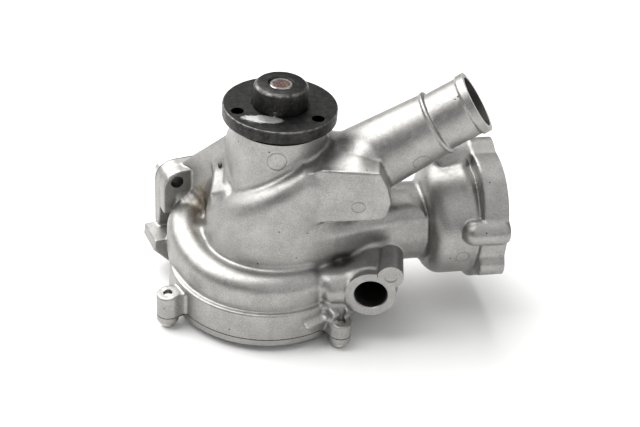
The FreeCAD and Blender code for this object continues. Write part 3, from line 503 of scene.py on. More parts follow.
def add_chamber(clay):
    """Duct, thermostat chamber, its flange and the bosses on it."""
    back, front = FLANGE_FACE - FLANGE_DEPTH, FLANGE_FACE + STOCK
    inner = back + STOCK
    clay.add(rod(duct_at(DUCT_START), duct_at(DUCT_END), DUCT_RADIUS, edge=3), fillet=5)
    clay.add(rod(chamber_at(CHAMBER_START), chamber_at(front), CHAMBER_RADIUS, edge=11), fillet=3)
    clay.add(rod(chamber_at(CHAMBER_START + 2, 90, 2), chamber_at(inner, 90, 6.5), 34, 39, edge=9),
             fillet=4)
    clay.add(rod(chamber_at(FLANGE_FACE - UPPER_BOLT_LENGTH, *UPPER_BOLT),
                 chamber_at(inner, *UPPER_BOLT), 11.5, edge=6), fillet=5)
    flange = Clay(clay.low, clay.high)
    lobes = ((0, 0, FLANGE_RADIUS), (90, 8, FLANGE_RADIUS), (200, 38.5, 9), (*UPPER_BOLT, 12))
    for angle, reach, radius in lobes:
        flange.add(rod(chamber_at(back, angle, reach), chamber_at(front, angle, reach), radius,
                       edge=1.3), fillet=3)
    clay.merge(flange, fillet=1.6)
    for bolt in SIDE_BOLTS:
        clay.add(rod(chamber_at(FLANGE_FACE - BOLT_BOSS_LENGTH, *bolt), chamber_at(front, *bolt),
                     8.5, edge=8), fillet=2)


def port_at(y, x=PORT_X, level=PORT_LEVEL):
    """Point on the side port's axis, or on the small boss's."""
    return np.array([x, y, level])


def add_port(clay):
    """Side port with its face ring, neck and the small blind boss."""
    clay.add(rod(port_at(PORT_FACE + 6), port_at(4), 17.5, 21, edge=2.5), fillet=4)
    clay.add(rod(ring_at(-44, 56, -114), port_at(PORT_FACE + 14), 13, 14, edge=5), fillet=5)
    face = Clay(clay.low, clay.high)
    face.add(rod(port_at(PORT_FACE - STOCK), port_at(PORT_RING_BACK), PORT_RING, edge=1), fillet=0)
    lean = np.array([PORT_SCREW_X - PORT_X, 0, PORT_SCREW_LEVEL - PORT_LEVEL])
    reach = np.linalg.norm(lean)
    across = np.cross(lean / reach, [0, 1.0, 0])
    middle = port_at(PORT_FACE + 5) + lean * 0.5
    face.add(slab(middle, [lean / reach, [0, 1.0, 0], across], (reach / 2, 9, 7.4), edge=1),
             fillet=2)
    boss = port_at(PORT_FACE - STOCK, PORT_SCREW_X, PORT_SCREW_LEVEL)
    face.add(rod(boss, boss + [0, 30, 0], PORT_BOSS, edge=1), fillet=2)
    clay.merge(face, fillet=2)


def add_mounting(clay):
    """Mounting flange with its lugs, outlet duct, wing and stiffening rib."""
    along, normal = level_axis(MOUNT_AZIMUTH), level_axis(MOUNT_AZIMUTH + 90)

    def block(span, levels, depth, edge, fillet, corner=0.0):
        outline = cornered(span, levels, corner)
        clay.add(plate(normal * (MOUNT_FACE + STOCK), along, UP, outline, depth + STOCK, edge),
                 fillet)

    clay.add(rib_shape(), fillet=9)
    clay.add(saddle_shape(), fillet=7)
    block(MOUNT_SPAN, MOUNT_LEVELS, depth=7, edge=0.6, fillet=1, corner=MOUNT_CORNER)
    block((-62, -38), (-103, -70.8), depth=16, edge=0.9, fillet=0.5, corner=MOUNT_CORNER - 0.5)
    block((28, 52), (-100, -70.5), depth=16, edge=1.2, fillet=3)
    block((-50, 48), (-119, -92), depth=19, edge=2, fillet=5)
    block((-22, 22), (-119.5, -98), depth=25, edge=4, fillet=6)
    clay.add(plate(normal * MOUNT_FACE, along, UP, WING_OUTLINE, WING_DEPTH, edge=0.8), fillet=1.5)


def cornered(span, levels, corner):
    """Upright outline whose upper left corner is rounded."""
    (left, right), (low, high) = span, levels
    square = [(left, low), (right, low), (right, high)]
    if not corner:
        return square + [(left, high)]
    turns = [math.radians(angle) for angle in range(0, 91, 15)]
    return square + [(left + corner * (1 - math.sin(turn)), high - corner * (1 - math.cos(turn)))
                     for turn in turns]


def rib_shape():
    """Upright rib from the tower to the left lug."""
    normal = level_axis(RIB_AZIMUTH + 90)
    return plate(normal * RIB_OFFSET, level_axis(RIB_AZIMUTH), UP, RIB_OUTLINE, RIB_THICKNESS,
                 edge=1.5)


def saddle_shape():
    """Sloping corner between the tower, the rib and the shoulder, where the weep hole comes out."""
    outward = slanted_axis(212, 50)
    uphill = np.cross(outward, np.array([1.0, 0, 0]))
    uphill /= np.linalg.norm(uphill)
    across = np.cross(uphill, outward)
    half = (10, 7.5, 12.5)
    centre = np.array(WEEP_MOUTH) - outward * half[0] - uphill * 8
    return slab(centre, [outward, across, uphill], half, edge=2.5)


def add_screw_bosses(clay):
    """Bosses for the cover screws."""
    low = RIM_LOW - STOCK
    for azimuth, top in SCREWS:
        spot = ring_at(azimuth, SCREW_CIRCLE, 0)
        clay.add(rod(spot + UP * low, spot + UP * top, SCREW_BOSS, edge=1.2), fillet=2.5)
        height = top - low
        middle = ring_at(azimuth, SCREW_CIRCLE - 8, low + height / 2)
        axes = [level_axis(azimuth), level_axis(azimuth + 90), UP]
        clay.add(slab(middle, axes, (8, 7.2, height / 2), edge=1.2), fillet=2)


def add_port_bridge(clay):
    """Leaning flat on the rim and the sloped bridge from the rim to the port."""
    lean = math.radians(FACET_LEAN)
    out, side = level_axis(FACET_AZIMUTH), level_axis(FACET_AZIMUTH + 90)
    facing = out * math.cos(lean) - UP * math.sin(lean)
    upward = out * math.sin(lean) + UP * math.cos(lean)
    origin = ring_at(FACET_AZIMUTH, FACET_RADIUS, FACET_LEVEL) - facing * FACET_DEPTH
    clay.add(plate(origin, side, upward, FACET_OUTLINE, FACET_DEPTH, edge=0.5), fillet=0.5)
    sloped = (UP * 3 + level_axis(-48)) / math.sqrt(10)
    level = level_axis(42)
    clay.add(slab(ring_at(-40, 67, -125), [np.cross(level, sloped), level, sloped], (9, 10, 4.5),
                  edge=1.5), fillet=3)


def carve_passages(clay):
    """Cast water passages: volute, duct and the drop from the hose pipe."""
    clay.carve(volute_shape(CHANNEL_SECTION, CHANNEL_LOW), fillet=0)
    clay.carve(rod(duct_at(DUCT_BORE_START), duct_at(DUCT_BORE_END), DUCT_BORE, edge=1), fillet=2)
    clay.carve(rod(drop_at(0), drop_at(DROP_HEIGHT + STOCK), DROP_BORE, edge=5), fillet=3)


def housing_cutters():
    """Machined faces, bores and holes of the housing."""
    outward = level_axis(DUCT_AZIMUTH)
    faces = [half_space((0, 0, RIM_LOW), -UP), half_space((0, 0, TOWER_TOP), UP, 32),
             half_space(chamber_at(FLANGE_FACE), outward, 120), mount_face_cutter(),
             half_space(pipe_at(PIPE_LENGTH), PIPE, 60)]
    shaft_bore = [(0, BODY_LOW), (SEAL_RADIUS, BODY_LOW), (SEAL_RADIUS, DRAIN_LOW),
                  (DRAIN_RADIUS, DRAIN_LOW), (DRAIN_RADIUS, RACE_LOW), (RACE_RADIUS, RACE_LOW),
                  (RACE_RADIUS, TOWER_TOP + 1), (0, TOWER_TOP + 1)]
    cavity_low = RIM_LOW - CUT_CLEAR
    cavity = [(0, cavity_low), (CAVITY_RADIUS, cavity_low), (CAVITY_RADIUS, CAVITY_TOP),
              (0, CAVITY_TOP)]
    seat, depth = SEAT_DEPTH + CUT_CLEAR, CHAMBER_BORE_DEPTH + CUT_CLEAR
    chamber = [(0, 0), (SEAT_RADIUS, 0), (SEAT_RADIUS, seat), (CHAMBER_BORE, seat),
               (CHAMBER_BORE, depth), (0, depth)]
    port_depth = PORT_DEPTH + CUT_CLEAR
    port = [(0, 0), (PORT_MOUTH, 0), (PORT_BORE, 2.8), (PORT_BORE, port_depth), (0, port_depth)]
    bores = [turned("cutter", shaft_bore), turned("cutter", cavity, (RING_X, 0, 0)),
             suction_cutter()] + port_face_cutters()
    bores.append(pin_cutter(pipe_at(PIPE_LENGTH + CUT_CLEAR), pipe_at(PIPE_BORE_START), PIPE_BORE,
                            segments=128))
    bores.append(turned("cutter", chamber, chamber_at(FLANGE_FACE + CUT_CLEAR), -outward, 160))
    bores.append(turned("cutter", port, port_at(PORT_FACE - CUT_CLEAR), (0, 1, 0), 96))
    return faces + bores + hole_cutters()


def hole_cutters():
    """Cutters for the port's dimple, the lug, flange and cover screw holes and the weep hole."""
    cutters = [pin_cutter(port_at(PORT_FACE - CUT_CLEAR, PORT_SCREW_X, PORT_SCREW_LEVEL),
                          port_at(PORT_FACE + 0.5, PORT_SCREW_X, PORT_SCREW_LEVEL), PORT_DIMPLE)]
    for across in LUG_HOLES:
        cutters.append(pin_cutter(mount_at(across, 34, LUG_LEVEL),
                                  mount_at(across, MOUNT_FACE + CUT_CLEAR, LUG_LEVEL), LUG_HOLE))
    for bolt in (SIDE_BOLTS[0], UPPER_BOLT, SIDE_BOLTS[1]):
        cutters.append(pin_cutter(chamber_at(FLANGE_FACE + 1, *bolt),
                                  chamber_at(FLANGE_FACE - FLANGE_HOLE_DEPTH, *bolt), FLANGE_HOLE,
                                  chamfer=0.6))
    for azimuth, top in SCREWS:
        spot = ring_at(azimuth, SCREW_CIRCLE, 0)
        cutters.append(pin_cutter(spot + UP * (top + 9), spot + UP * (RIM_LOW - CUT_CLEAR),
                                  SCREW_HOLE))
    return cutters + [weep_cutter()]


def mount_face_cutter():
    """Cutter that faces the mounting flange."""
    corners = [mount_at(u, d, v) for d in (MOUNT_FACE, MOUNT_FACE + 20)
               for u, v in ((60, -120), (-75, -120), (-75, -60), (60, -60))]
    return new_object("cutter", np.array(corners) * MM, BLOCK_FACES)


def port_face_cutters():
    """Cutters that face the side port, its web and the small boss."""
    middle_x, middle_level = (PORT_X + PORT_SCREW_X) / 2, (PORT_LEVEL + PORT_SCREW_LEVEL) / 2
    spots = ((PORT_X, PORT_LEVEL, PORT_RING + 0.6), (middle_x, middle_level, 9),
             (PORT_SCREW_X, PORT_SCREW_LEVEL, 9))
    return [pin_cutter(port_at(PORT_FACE - 12, x, level), port_at(PORT_FACE, x, level), radius)
            for x, level, radius in spots]


def suction_cutter():
    """Annular suction room round the seal boss."""
    low = CAVITY_TOP - 1
    ring = turned("suction", [(0, low), (SUCTION_RADIUS, low), (SUCTION_RADIUS, SUCTION_TOP),
                              (0, SUCTION_TOP)])
    return cut(ring, [pin_cutter((0, 0, -100), (0, 0, -70), SEAL_BOSS_RADIUS, segments=128)])


def weep_cutter():
    """Weep hole, slanting down to the drain room."""
    direction = slanted_axis(WEEP_AZIMUTH, WEEP_RISE)
    start = UP * WEEP_START
    return pin_cutter(start + direction * 75, start + direction * 24, WEEP_RADIUS)


def mark_inside(item):
    """Note on each face whether it lies inside a water passage, bore or lug hole, where the
    material paints shade.
    """
    passages = [(pipe_at(PIPE_BORE_START - 1), PIPE, PIPE_BORE + 0.4),
                (chamber_at(107), level_axis(DUCT_AZIMUTH), CHAMBER_BORE + 0.4),
                (port_at(2), -np.array([0, 1.0, 0]), PORT_BORE + 0.15)]
    passages += [(mount_at(across, 30, LUG_LEVEL), level_axis(MOUNT_AZIMUTH + 90), LUG_HOLE + 0.1)
                 for across in LUG_HOLES]
    count = len(item.data.polygons)
    centres = np.empty(count * 3)
    item.data.polygons.foreach_get("center", centres)
    centres = centres.reshape(count, 3) / MM
    inside = np.zeros(count)
    for start, axis, radius in passages:
        offset = centres - start
        along = offset @ axis
        out = np.linalg.norm(offset - np.outer(along, axis), axis=1)
        inside[(out < radius) & (along > -1)] = 1
    ends = ((centres - pipe_at(PIPE_LENGTH)) @ PIPE > -0.1)
    ends |= centres[:, 1] < PORT_FACE + 0.1
    inside[ends] = 0
    attribute = item.data.attributes.new("inside", "FLOAT", "FACE")
    attribute.data.foreach_set("value", inside)


def make_housing(material):
    """One-piece aluminium casting."""
    low, high = (np.array(corner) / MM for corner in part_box("housing"))
    clay = Clay(low - 6, high + 6)
    add_body(clay)
    add_pipe(clay)
    add_chamber(clay)
    add_mounting(clay)
    add_port(clay)
    add_screw_bosses(clay)
    add_port_bridge(clay)
    carve_passages(clay)
    casting = cut(clay.mesh("housing_casting"), housing_cutters())
    mark_inside(casting)
    finish_piece(soften(casting), material, "casing", "housing")


# --- plates, rear cover and screws

def make_mount_sheet(name, faces, material, node):
    """Flat sheet behind the mounting flange, with a rounded corner, bolt holes and window."""
    near, far = faces
    outline = cornered(MOUNT_SPAN, MOUNT_LEVELS, MOUNT_CORNER)
    count = len(outline)
    points = [mount_at(u, d, v) for d in (near, far) for u, v in outline]
    sides = [(i, i + count, (i + 1) % count + count, (i + 1) % count) for i in range(count)]
    ends = [tuple(range(count)), tuple(reversed(range(count, 2 * count)))]
    sheet = new_object(name, np.array(points) * MM, ends + sides)
    holes = [pin_cutter(mount_at(u, near - 1, LUG_LEVEL), mount_at(u, far + 1, LUG_LEVEL),
                        LUG_HOLE) for u in LUG_HOLES]
    (left, right), (low, high) = WINDOW_SPAN, WINDOW_LEVELS
    window = [mount_at(u, d, v) for d in (near - 1, far + 1)
              for u, v in ((right, low), (left, low), (left, high), (right, high))]
    holes.append(new_object("cutter", np.array(window) * MM, BLOCK_FACES))
    finish_piece(soften(cut(sheet, holes)), material, "casing", node)


def make_rear_cover(material):
    """Cast rear cover with screw lugs and a ribbed underside."""
    recess_radius, recess_depth, centre_boss = 56, 2, 14
    clay = Clay((RING_X - 90, -90, COVER_LOW - 4), (RING_X + 90, 90, COVER_TOP + 6))
    clay.add(rod((RING_X, 0, COVER_LOW), (RING_X, 0, COVER_TOP + STOCK), RIM_RADIUS, edge=1.4),
             fillet=0)
    cutters = [half_space((0, 0, COVER_TOP), UP)]
    for azimuth, _ in SCREWS:
        spot = ring_at(azimuth, SCREW_CIRCLE, 0)
        clay.add(rod(spot + UP * COVER_LOW, spot + UP * (COVER_TOP + STOCK), SCREW_BOSS, edge=1),
                 fillet=2.5)
        cutters.append(pin_cutter(spot + UP * (COVER_LOW - CUT_CLEAR),
                                  spot + UP * (COVER_TOP + CUT_CLEAR), SCREW_HOLE))
    clay.carve(rod((RING_X, 0, COVER_LOW - 3), (RING_X, 0, COVER_LOW + recess_depth),
                   recess_radius, edge=1), fillet=0.8)
    clay.add(rod((RING_X, 0, COVER_LOW), (RING_X, 0, COVER_LOW + 4), centre_boss, edge=1),
             fillet=2)
    for azimuth in range(20, 380, 60):
        axes = [level_axis(azimuth), level_axis(azimuth + 90), UP]
        clay.add(slab(ring_at(azimuth, 35, COVER_LOW + 2), axes, (24, 1.6, 2), edge=0.6),
                 fillet=1.5)
    cover = cut(clay.mesh("rear_cover_casting"), cutters)
    finish_piece(soften(cover), material, "casing", "rear_cover")


def screw_profile(length, head=4.5):
    """Profile of a pan-head screw standing on its head, threads as fine rings."""
    crest, root, pitch = 2.9, 2.55, 1.0
    profile = [(0, -head), (2.6, -head), (4.3, -head + 0.5), (5.2, -head + 1.6), (5.5, -1.4),
               (5.5, 0), (crest, 0)]
    along = pitch
    while along < length - pitch:
        profile += [(crest, along), (root, along + pitch / 2)]
        along += pitch
    return profile + [(crest, length - 1), (crest - 0.7, length), (0, length)]


def make_screws(material):
    """Six cover screws with hexagon sockets, as one piece."""
    socket_profile = [(0, -6), (2.9, -6), (2.9, -2.4), (0, -1.6)]
    parts = []
    for azimuth, top in SCREWS:
        spot = ring_at(azimuth, SCREW_CIRCLE, COVER_LOW)
        screw = turned("screw", screw_profile(top - 1.5 - COVER_LOW), spot, UP, 48)
        socket = turned("cutter", socket_profile, spot, UP, 6)
        parts.append(cut(screw, [socket]))
    screws = merge_objects("cover_screws_detail", parts)
    finish_piece(soften(screws, 25), material, "casing", "cover_screws")


def merge_objects(name, parts):
    """Several objects in one mesh."""
    points, faces = [], []
    for part in parts:
        start = len(points)
        points += [tuple(v.co) for v in part.data.vertices]
        faces += [tuple(start + i for i in p.vertices) for p in part.data.polygons]
        bpy.data.objects.remove(part)
    return new_object(name, points, faces)


# --- hub and shaft

def make_hub(material):
    """Drive hub: flange, pilot nose, skirt and three tapped holes."""
    low = -HUB_THICKNESS
    skirt = [(0, -HUB_SKIRT), (14.4, -HUB_SKIRT), (15, -HUB_SKIRT + 0.6), (15, low - 0.6),
             (15.6, low)]
    flange = [(36.2, low), (36.8, -8.3), (37, -7.8), (37, -0.9), (36.7, -0.3), (36.1, 0),
              (18.6, 0)]
    nose = [(18.2, -0.3), (18.1, -0.9), (17.5, -0.9), (17.45, -0.5), (17.45, 12.6), (17.2, 13.1),
            (15.4, 14.8), (14.9, 15), (0, 15)]
    hub = turned("drive_hub_detail", skirt + flange + nose, segments=192)
    shaft_hole = [(0, -16), (8, -16), (8, 14.2), (8.8, 15), (9.3, 15.5), (9.3, 17), (0, 17)]
    tapped_hole = [(0, 3), (HUB_HOLE + 2.7, 3), (HUB_HOLE + 0.7, 0), (HUB_HOLE, -0.7),
                   (HUB_HOLE, -12), (0, -12)]
    cutters = [turned("cutter", shaft_hole, segments=96)]
    for i in range(HUB_HOLES):
        spot = level_axis(88 + 360 / HUB_HOLES * i) * HUB_HOLE_CIRCLE
        cutters.append(turned("cutter", tapped_hole, spot, UP, 48))
    finish_piece(soften(cut(hub, cutters), 24), material, "rotor",
                 "drive_hub")


def make_shaft(material):
    """Bearing spindle with chamfered ends and a centre mark."""
    profile = [(0, -129.6), (1.6, -131), (6.8, -131), (8, -129.8), (8, -70.5), (9.5, -70.5),
               (9.5, -17.5), (8, -17.5), (8, 13.3), (7.0, 14.4), (1.5, 14.4), (0, 13.2)]
    shaft = turned("shaft_detail", profile, segments=96)
    finish_piece(soften(shaft, 24), material, "rotor", "shaft")


# --- materials

class Nodes:
    """Small helper for one material's node tree."""

    def __init__(self, name):
        self.material = bpy.data.materials.new(name)
        self.material.use_nodes = True
        self.tree = self.material.node_tree
        self.shader = self.tree.nodes["Principled BSDF"]
        self.place = self.tree.nodes.new("ShaderNodeTexCoord").outputs["Object"]

    def link(self, source, target):
        """Join an output to an input."""
        self.tree.links.new(source, target)

    def node(self, kind, **numbers):
        """New node with numbers on its inputs, whose names are written with _ for a space."""
        node = self.tree.nodes.new("ShaderNode" + kind)
        for name, number in numbers.items():
            node.inputs[name.replace("_", " ")].default_value = number
        return node

    def noise(self, size, detail=4.0, roughness=0.55, stretch=None):
        """Noise whose features are about `size` mm, from 0 to 1."""
        node = self.node("TexNoise", Scale=1 / (size * MM), Detail=detail, Roughness=roughness)
        self.link(self.stretched(stretch) if stretch else self.place, node.inputs["Vector"])
        return node.outputs["Fac"]

    def stretched(self, factors):
        """Object place scaled differently along each axis."""
        node = self.node("Mapping", Scale=factors)
        self.link(self.place, node.inputs["Vector"])
        return node.outputs["Vector"]

    def cells(self, size):
        """Distance to the nearest of random points about `size` mm apart."""
        node = self.node("TexVoronoi", Scale=1 / (size * MM))
        self.link(self.place, node.inputs["Vector"])
        return node.outputs["Distance"]

    def ramp(self, value, low, high, first=0.0, last=1.0):
        """Value mapped from low..high to first..last, clamped."""
        node = self.node("MapRange", From_Min=low, From_Max=high, To_Min=first, To_Max=last)
        self.link(value, node.inputs["Value"])
        return node.outputs["Result"]

    def math(self, operation, *values):
        """Plain arithmetic on values or numbers."""
        node = self.node("Math")
        node.operation = operation
        for socket, value in zip(node.inputs, values):
            if isinstance(value, (int, float)):
                socket.default_value = value
            else:
                self.link(value, socket)
        return node.outputs["Value"]

    def mix(self, factor, first, second):
        """Colour blend; each colour is a tuple or a socket."""
        node = self.node("Mix")
        node.data_type = "RGBA"
        self.link(factor, node.inputs["Factor"])
        for socket, value in ((node.inputs[6], first), (node.inputs[7], second)):
            if isinstance(value, tuple):
                socket.default_value = (*value, 1)
            else:
                self.link(value, socket)
        return node.outputs[2]

    def away(self, point, factors=(1, 1, 1)):
        """Distance in metres from a point in mm, with each axis stretched."""
        node = self.node("VectorMath")
        node.operation = "DISTANCE"
        scale = np.asarray(factors, float)
        node.inputs[1].default_value = tuple(np.asarray(point, float) * scale * MM)
        self.link(self.stretched(tuple(scale)), node.inputs[0])
        return node.outputs["Value"]

    def near(self, point, radius, factors=(1, 1, 1)):
        """1 at a point in mm, falling to 0 at a radius."""
        return self.ramp(self.away(point, factors), 0, radius * MM, 1, 0)

    def circle_marks(self, marks, width=0.55):
        """1 on the thin circles left by ejector pins, from (point, radius) in mm."""
        total = None
        for point, radius in marks:
            gap = self.math("ABSOLUTE", self.math("SUBTRACT", self.away(point), radius * MM))
            line = self.ramp(gap, 0, width * MM, 1, 0)
            total = line if total is None else self.math("MAXIMUM", total, line)
        return total

    def edge_ring(self, radius, level, reach):
        """1 on a level circle about the shaft, falling to 0 at a reach, all in mm."""
        node = self.node("VectorMath")
        node.operation = "LENGTH"
        self.link(self.stretched((1, 1, 0)), node.inputs[0])
        axes = self.node("SeparateXYZ")
        self.link(self.place, axes.inputs[0])
        out = self.math("SUBTRACT", node.outputs["Value"], radius * MM)
        over = self.math("SUBTRACT", axes.outputs["Z"], level * MM)
        squares = [self.math("MULTIPLY", value, value) for value in (out, over)]
        gap = self.math("SQRT", self.math("ADD", *squares))
        return self.ramp(gap, 0, reach * MM, 1, 0)

    def attribute(self, name):
        """Number stored on the mesh."""
        node = self.node("Attribute")
        node.attribute_name = name
        return node.outputs["Fac"]

    def bump(self, height, distance, strength=1.0, base=None):
        """Bump from a height, in mm of depth, over an earlier bump."""
        node = self.node("Bump", Distance=distance * MM, Strength=strength)
        self.link(height, node.inputs["Height"])
        if base is not None:
            self.link(base, node.inputs["Normal"])
        return node.outputs["Normal"]

    def done(self, colour, roughness, normal=None, metallic=1.0):
        """Wire the shader up."""
        for socket, value in (("Base Color", colour), ("Roughness", roughness), ("Normal", normal)):
            if value is None:
                continue
            if isinstance(value, tuple):
                self.shader.inputs[socket].default_value = (*value, 1)
            elif isinstance(value, (int, float)):
                self.shader.inputs[socket].default_value = value
            else:
                self.link(value, self.shader.inputs[socket])
        self.shader.inputs["Metallic"].default_value = metallic
        return self.material


def cast_aluminium():
    """Die-cast aluminium: sandy grain with painted light on its high points and painted shade in
    its hollows, mottling, pits with painted shade, ejector marks, an oil stain, painted shade in
    the bores.
    """
    n = Nodes("cast_aluminium")
    mottle = n.ramp(n.noise(14, 5), 0.35, 0.7)
    grain = n.noise(0.9, 3, 0.6)
    # Lighter and darker copies of the mottled colour, blended by the grain that also drives the
    # bump: painted light on the grain's high points, painted shade in its hollows.
    grain_lit_colour = n.mix(mottle, (0.37, 0.365, 0.355), (0.44, 0.435, 0.425))
    grain_shaded_colour = n.mix(mottle, (0.29, 0.285, 0.275), (0.36, 0.355, 0.345))
    colour = n.mix(n.ramp(grain, 0.42, 0.62), grain_shaded_colour, grain_lit_colour)
    pit_places = n.ramp(n.noise(9, 2), 0.52, 0.60)
    pits = n.math("MULTIPLY", n.ramp(n.cells(7), 0.07, 0.10, 1, 0), pit_places)
    # Pits painted near-black: painted shade in the pits.
    colour = n.mix(pits, colour, (0.08, 0.075, 0.07))
    marks = n.circle_marks(EJECTOR_MARKS)
    colour = n.mix(n.math("MULTIPLY", marks, 0.45), colour, (0.13, 0.125, 0.12))
    patches = n.ramp(n.noise(4, 4), 0.3, 0.6)
    stain = n.math("MULTIPLY", n.near(STAIN_PLACE, STAIN_RADIUS), patches)
    colour = n.mix(n.ramp(stain, 0.08, 0.7, 0, 0.8), colour, (0.20, 0.13, 0.04))
    inside = n.attribute("inside")
    # Near-black colour on faces inside the passages, bores and lug holes: painted shade.
    dark = n.mix(mottle, (0.05, 0.048, 0.045), (0.11, 0.105, 0.10))
    colour = n.mix(inside, colour, dark)
    roughness = n.ramp(n.noise(3, 4), 0.3, 0.7, 0.37, 0.50)
    roughness = n.math("ADD", roughness, n.math("MULTIPLY", inside, 0.15))
    normal = n.bump(n.noise(6, 3), 0.25, 0.22)
    normal = n.bump(grain, 0.10, 0.5, normal)
    normal = n.bump(n.math("SUBTRACT", 1.0, n.math("MAXIMUM", pits, marks)), 0.3, 0.6, normal)
    return n.done(colour, roughness, normal)


def rolled_aluminium():
    """Sheet aluminium with faint rolling lines."""
    n = Nodes("rolled_aluminium")
    lines = n.noise(0.6, 3, 0.6, (1, 1, 0.05))
    colour = n.mix(n.ramp(lines, 0.3, 0.7), (0.62, 0.62, 0.61), (0.72, 0.72, 0.71))
    return n.done(colour, n.ramp(n.noise(4), 0.3, 0.7, 0.28, 0.42), n.bump(lines, 0.03, 0.4))


def black_oxide():
    """Black-oxided steel, clouded and specked, with a painted highlight on its chamfer rings and
    one scrape.
    """
    n = Nodes("black_oxide_steel")
    cloud = n.noise(5, 5)
    colour = n.mix(n.ramp(cloud, 0.35, 0.7), (0.018, 0.018, 0.018), (0.045, 0.044, 0.043))
    speck = n.ramp(n.noise(0.8, 2), 0.66, 0.72)
    colour = n.mix(speck, colour, (0.16, 0.155, 0.15))
    # Lighter rings on the nose and flange chamfers, broken up by noise: painted highlight.
    chamfer_highlight = n.math("MAXIMUM", n.edge_ring(16.3, 14.0, 1.7), n.edge_ring(36.7, -0.4, 0.9))
    chamfer_highlight = n.math("MULTIPLY", chamfer_highlight, n.ramp(n.noise(3, 4), 0.35, 0.65, 0.15, 0.9))
    colour = n.mix(chamfer_highlight, colour, (0.30, 0.29, 0.275))
    smear = n.noise(3.0, 6, 0.75, (0.5, 1.4, 1))
    scrape = n.math("MULTIPLY", n.near(SCRAPE_PLACE, SCRAPE_RADIUS, SCRAPE_SHAPE), smear)
    scrape = n.ramp(scrape, 0.20, 0.25)
    colour = n.mix(scrape, colour, (0.66, 0.66, 0.65))
    roughness = n.ramp(n.noise(2, 4), 0.3, 0.7, 0.34, 0.52)
    roughness = n.math("SUBTRACT", roughness, n.math("MULTIPLY", scrape, 0.05))
    return n.done(colour, roughness, n.bump(n.noise(0.5, 3), 0.05, 0.35), metallic=0.9)


def ground_steel():
    """Ground steel; the exposed shaft end is browned by rust."""
    n = Nodes("bearing_steel")
    rust_place = n.near(RUST_PLACE, RUST_RADIUS)
    patch = n.ramp(n.noise(1.0, 4), 0.15, 0.5, 0.3, 1)
    rust = n.math("MULTIPLY", n.ramp(rust_place, 0.05, 0.25), patch)
    colour = n.mix(rust, (0.55, 0.54, 0.53), (0.10, 0.055, 0.045))
    roughness = n.ramp(rust, 0, 1, 0.22, 0.6)
    return n.done(colour, roughness, n.bump(n.noise(0.6, 3), 0.05, 0.3), metallic=0.95)


def plain_metal(name, dark, light, low, high, grain=1.0, metallic=1.0):
    """Metal with clouded colour and roughness."""
    n = Nodes(name)
    cloud = n.ramp(n.noise(3, 5), 0.3, 0.7)
    return n.done(n.mix(cloud, dark, light), n.ramp(n.noise(grain, 4), 0.3, 0.7, low, high),
                  n.bump(n.noise(grain, 3), 0.04, 0.3), metallic)


def soft_plain(name, dark, light, low, high, grain=0.8):
    """Rubber, plastic, paper or ceramic with fine grain."""
    return plain_metal(name, dark, light, low, high, grain, metallic=0.0)


METALS = {  # dark and light colour, low and high roughness
    "zinc_screw": ((0.48, 0.47, 0.42), (0.66, 0.65, 0.60), 0.25, 0.4),
    "impeller_cast": ((0.16, 0.16, 0.16), (0.26, 0.25, 0.24), 0.5, 0.7),
    "stainless_sheet": ((0.55, 0.55, 0.54), (0.66, 0.66, 0.65), 0.2, 0.32),
}
SOFT_AND_CERAMIC = {
    "gasket_paper": ((0.035, 0.035, 0.034), (0.09, 0.085, 0.08), 0.7, 0.9),
    "moulded_plastic": ((0.05, 0.04, 0.03), (0.09, 0.07, 0.05), 0.4, 0.55),
    "seal_rubber": ((0.012, 0.012, 0.012), (0.03, 0.03, 0.03), 0.55, 0.75),
    "carbon": ((0.02, 0.02, 0.02), (0.045, 0.045, 0.045), 0.3, 0.45),
    "ceramic": ((0.78, 0.76, 0.72), (0.88, 0.87, 0.83), 0.2, 0.35),
}


def make_materials():
    """Every material by its slot in the record."""
    made = {"cast_aluminium": cast_aluminium(), "rolled_aluminium": rolled_aluminium(),
            "black_oxide_steel": black_oxide(), "bearing_steel": ground_steel()}
    for name, look in METALS.items():
        made[name] = plain_metal(name, *look)
    for name, look in SOFT_AND_CERAMIC.items():
        made[name] = soft_plain(name, *look)
    return made


def paint_frame(materials):
    """Give each CAD node the material of its slot."""
    for part in frame["record"]["subparts"]:
        item = frame["nodes"][part["node"]]
        for slot in item.material_slots:
            slot.material = materials[part["material_slot"]]


# --- studio

FLOOR_REACH = 6.0  # metres from the middle to the floor's edges
CAMERA_ELEVATION, CAMERA_LEAN, CAMERA_LENS = 34.04, 4.56, 67.5
CAMERA_PLACE = (0.0308, -0.6714, 0.3717)


def make_floor(level):
    """Plain pale floor under the pump."""
    corners = ((-1, -1), (1, -1), (1, 1), (-1, 1))
    floor = new_object("floor", [(x * FLOOR_REACH, y * FLOOR_REACH, level) for x, y in corners],
                       [(0, 1, 2, 3)])
    n = Nodes("floor")
    colour = n.mix(n.noise(400, 2), (0.86, 0.86, 0.855), (0.88, 0.88, 0.875))
    floor.data.materials.append(n.done(colour, 0.75, metallic=0.0))


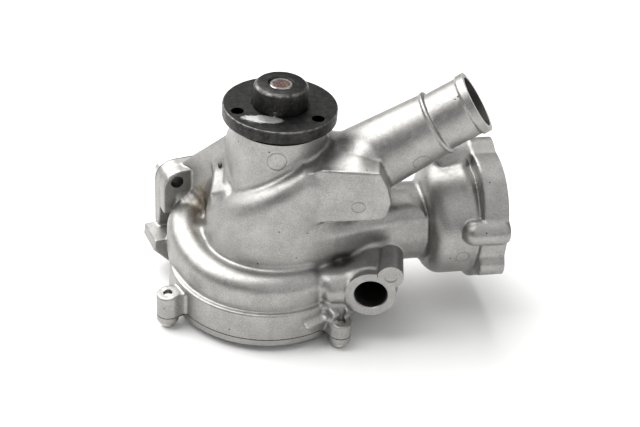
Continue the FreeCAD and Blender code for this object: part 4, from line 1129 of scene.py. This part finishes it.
def sun_light(name, direction, angle, strength, colour=(1, 1, 1)):
    """Broad even light arriving from a direction, `angle` degrees across."""
    lamp = bpy.data.lights.new(name, "SUN")
    lamp.angle = math.radians(angle)
    lamp.energy = strength
    lamp.color = colour
    item = bpy.data.objects.new(name, lamp)
    item.rotation_euler = (-Vector(direction)).to_track_quat("-Z", "Y").to_euler()
    bpy.context.scene.collection.objects.link(item)


def make_lights():
    """Large soft box above and left of the pump, a weak fill at the right, in a dim room."""
    sun_light("overhead", (-0.60, 0.36, 0.95), 74, 4.9, (1.0, 0.995, 0.98))
    sun_light("fill", (0.5, -0.5, 1.0), 90, 1.1)
    world = bpy.data.worlds.new("surround")
    bpy.context.scene.world = world
    world.use_nodes = True
    shade = world.node_tree.nodes["Background"]
    shade.inputs["Color"].default_value = (0.98, 0.99, 1.0, 1)
    shade.inputs["Strength"].default_value = 0.2


def make_camera():
    """Camera in front, looking down at the pump, leaning a little."""
    elevation, lean = math.radians(CAMERA_ELEVATION), math.radians(CAMERA_LEAN)
    right = Vector((1, 0, 0))
    up = Vector((0, math.sin(elevation), math.cos(elevation)))
    back = Vector((0, -math.cos(elevation), math.sin(elevation)))
    turned_right = right * math.cos(lean) + up * math.sin(lean)
    turned_up = up * math.cos(lean) - right * math.sin(lean)
    place = Matrix((turned_right, turned_up, back)).transposed().to_4x4()
    place.translation = Vector(CAMERA_PLACE)
    camera = bpy.data.objects.new("camera", bpy.data.cameras.new("camera"))
    camera.matrix_world = place
    camera.data.lens = CAMERA_LENS
    bpy.context.scene.collection.objects.link(camera)
    bpy.context.scene.camera = camera


def main():
    """Build the looks around the frame, then the studio."""
    make_camera()
    materials = make_materials()
    paint_frame(materials)
    make_housing(materials["cast_aluminium"])
    for node, faces, slot in (("mounting_gasket", (MOUNT_FACE, GASKET_FACE), "gasket_paper"),
                              ("rear_plate", (GASKET_FACE, PLATE_FACE), "rolled_aluminium")):
        make_mount_sheet(node + "_detail", faces, materials[slot], node)
    make_rear_cover(materials["cast_aluminium"])
    make_screws(materials["zinc_screw"])
    make_hub(materials["black_oxide_steel"])
    make_shaft(materials["bearing_steel"])
    make_floor(CAD_BOX[0][2])
    make_lights()
    bpy.context.scene.view_settings.view_transform = "Standard"


main()
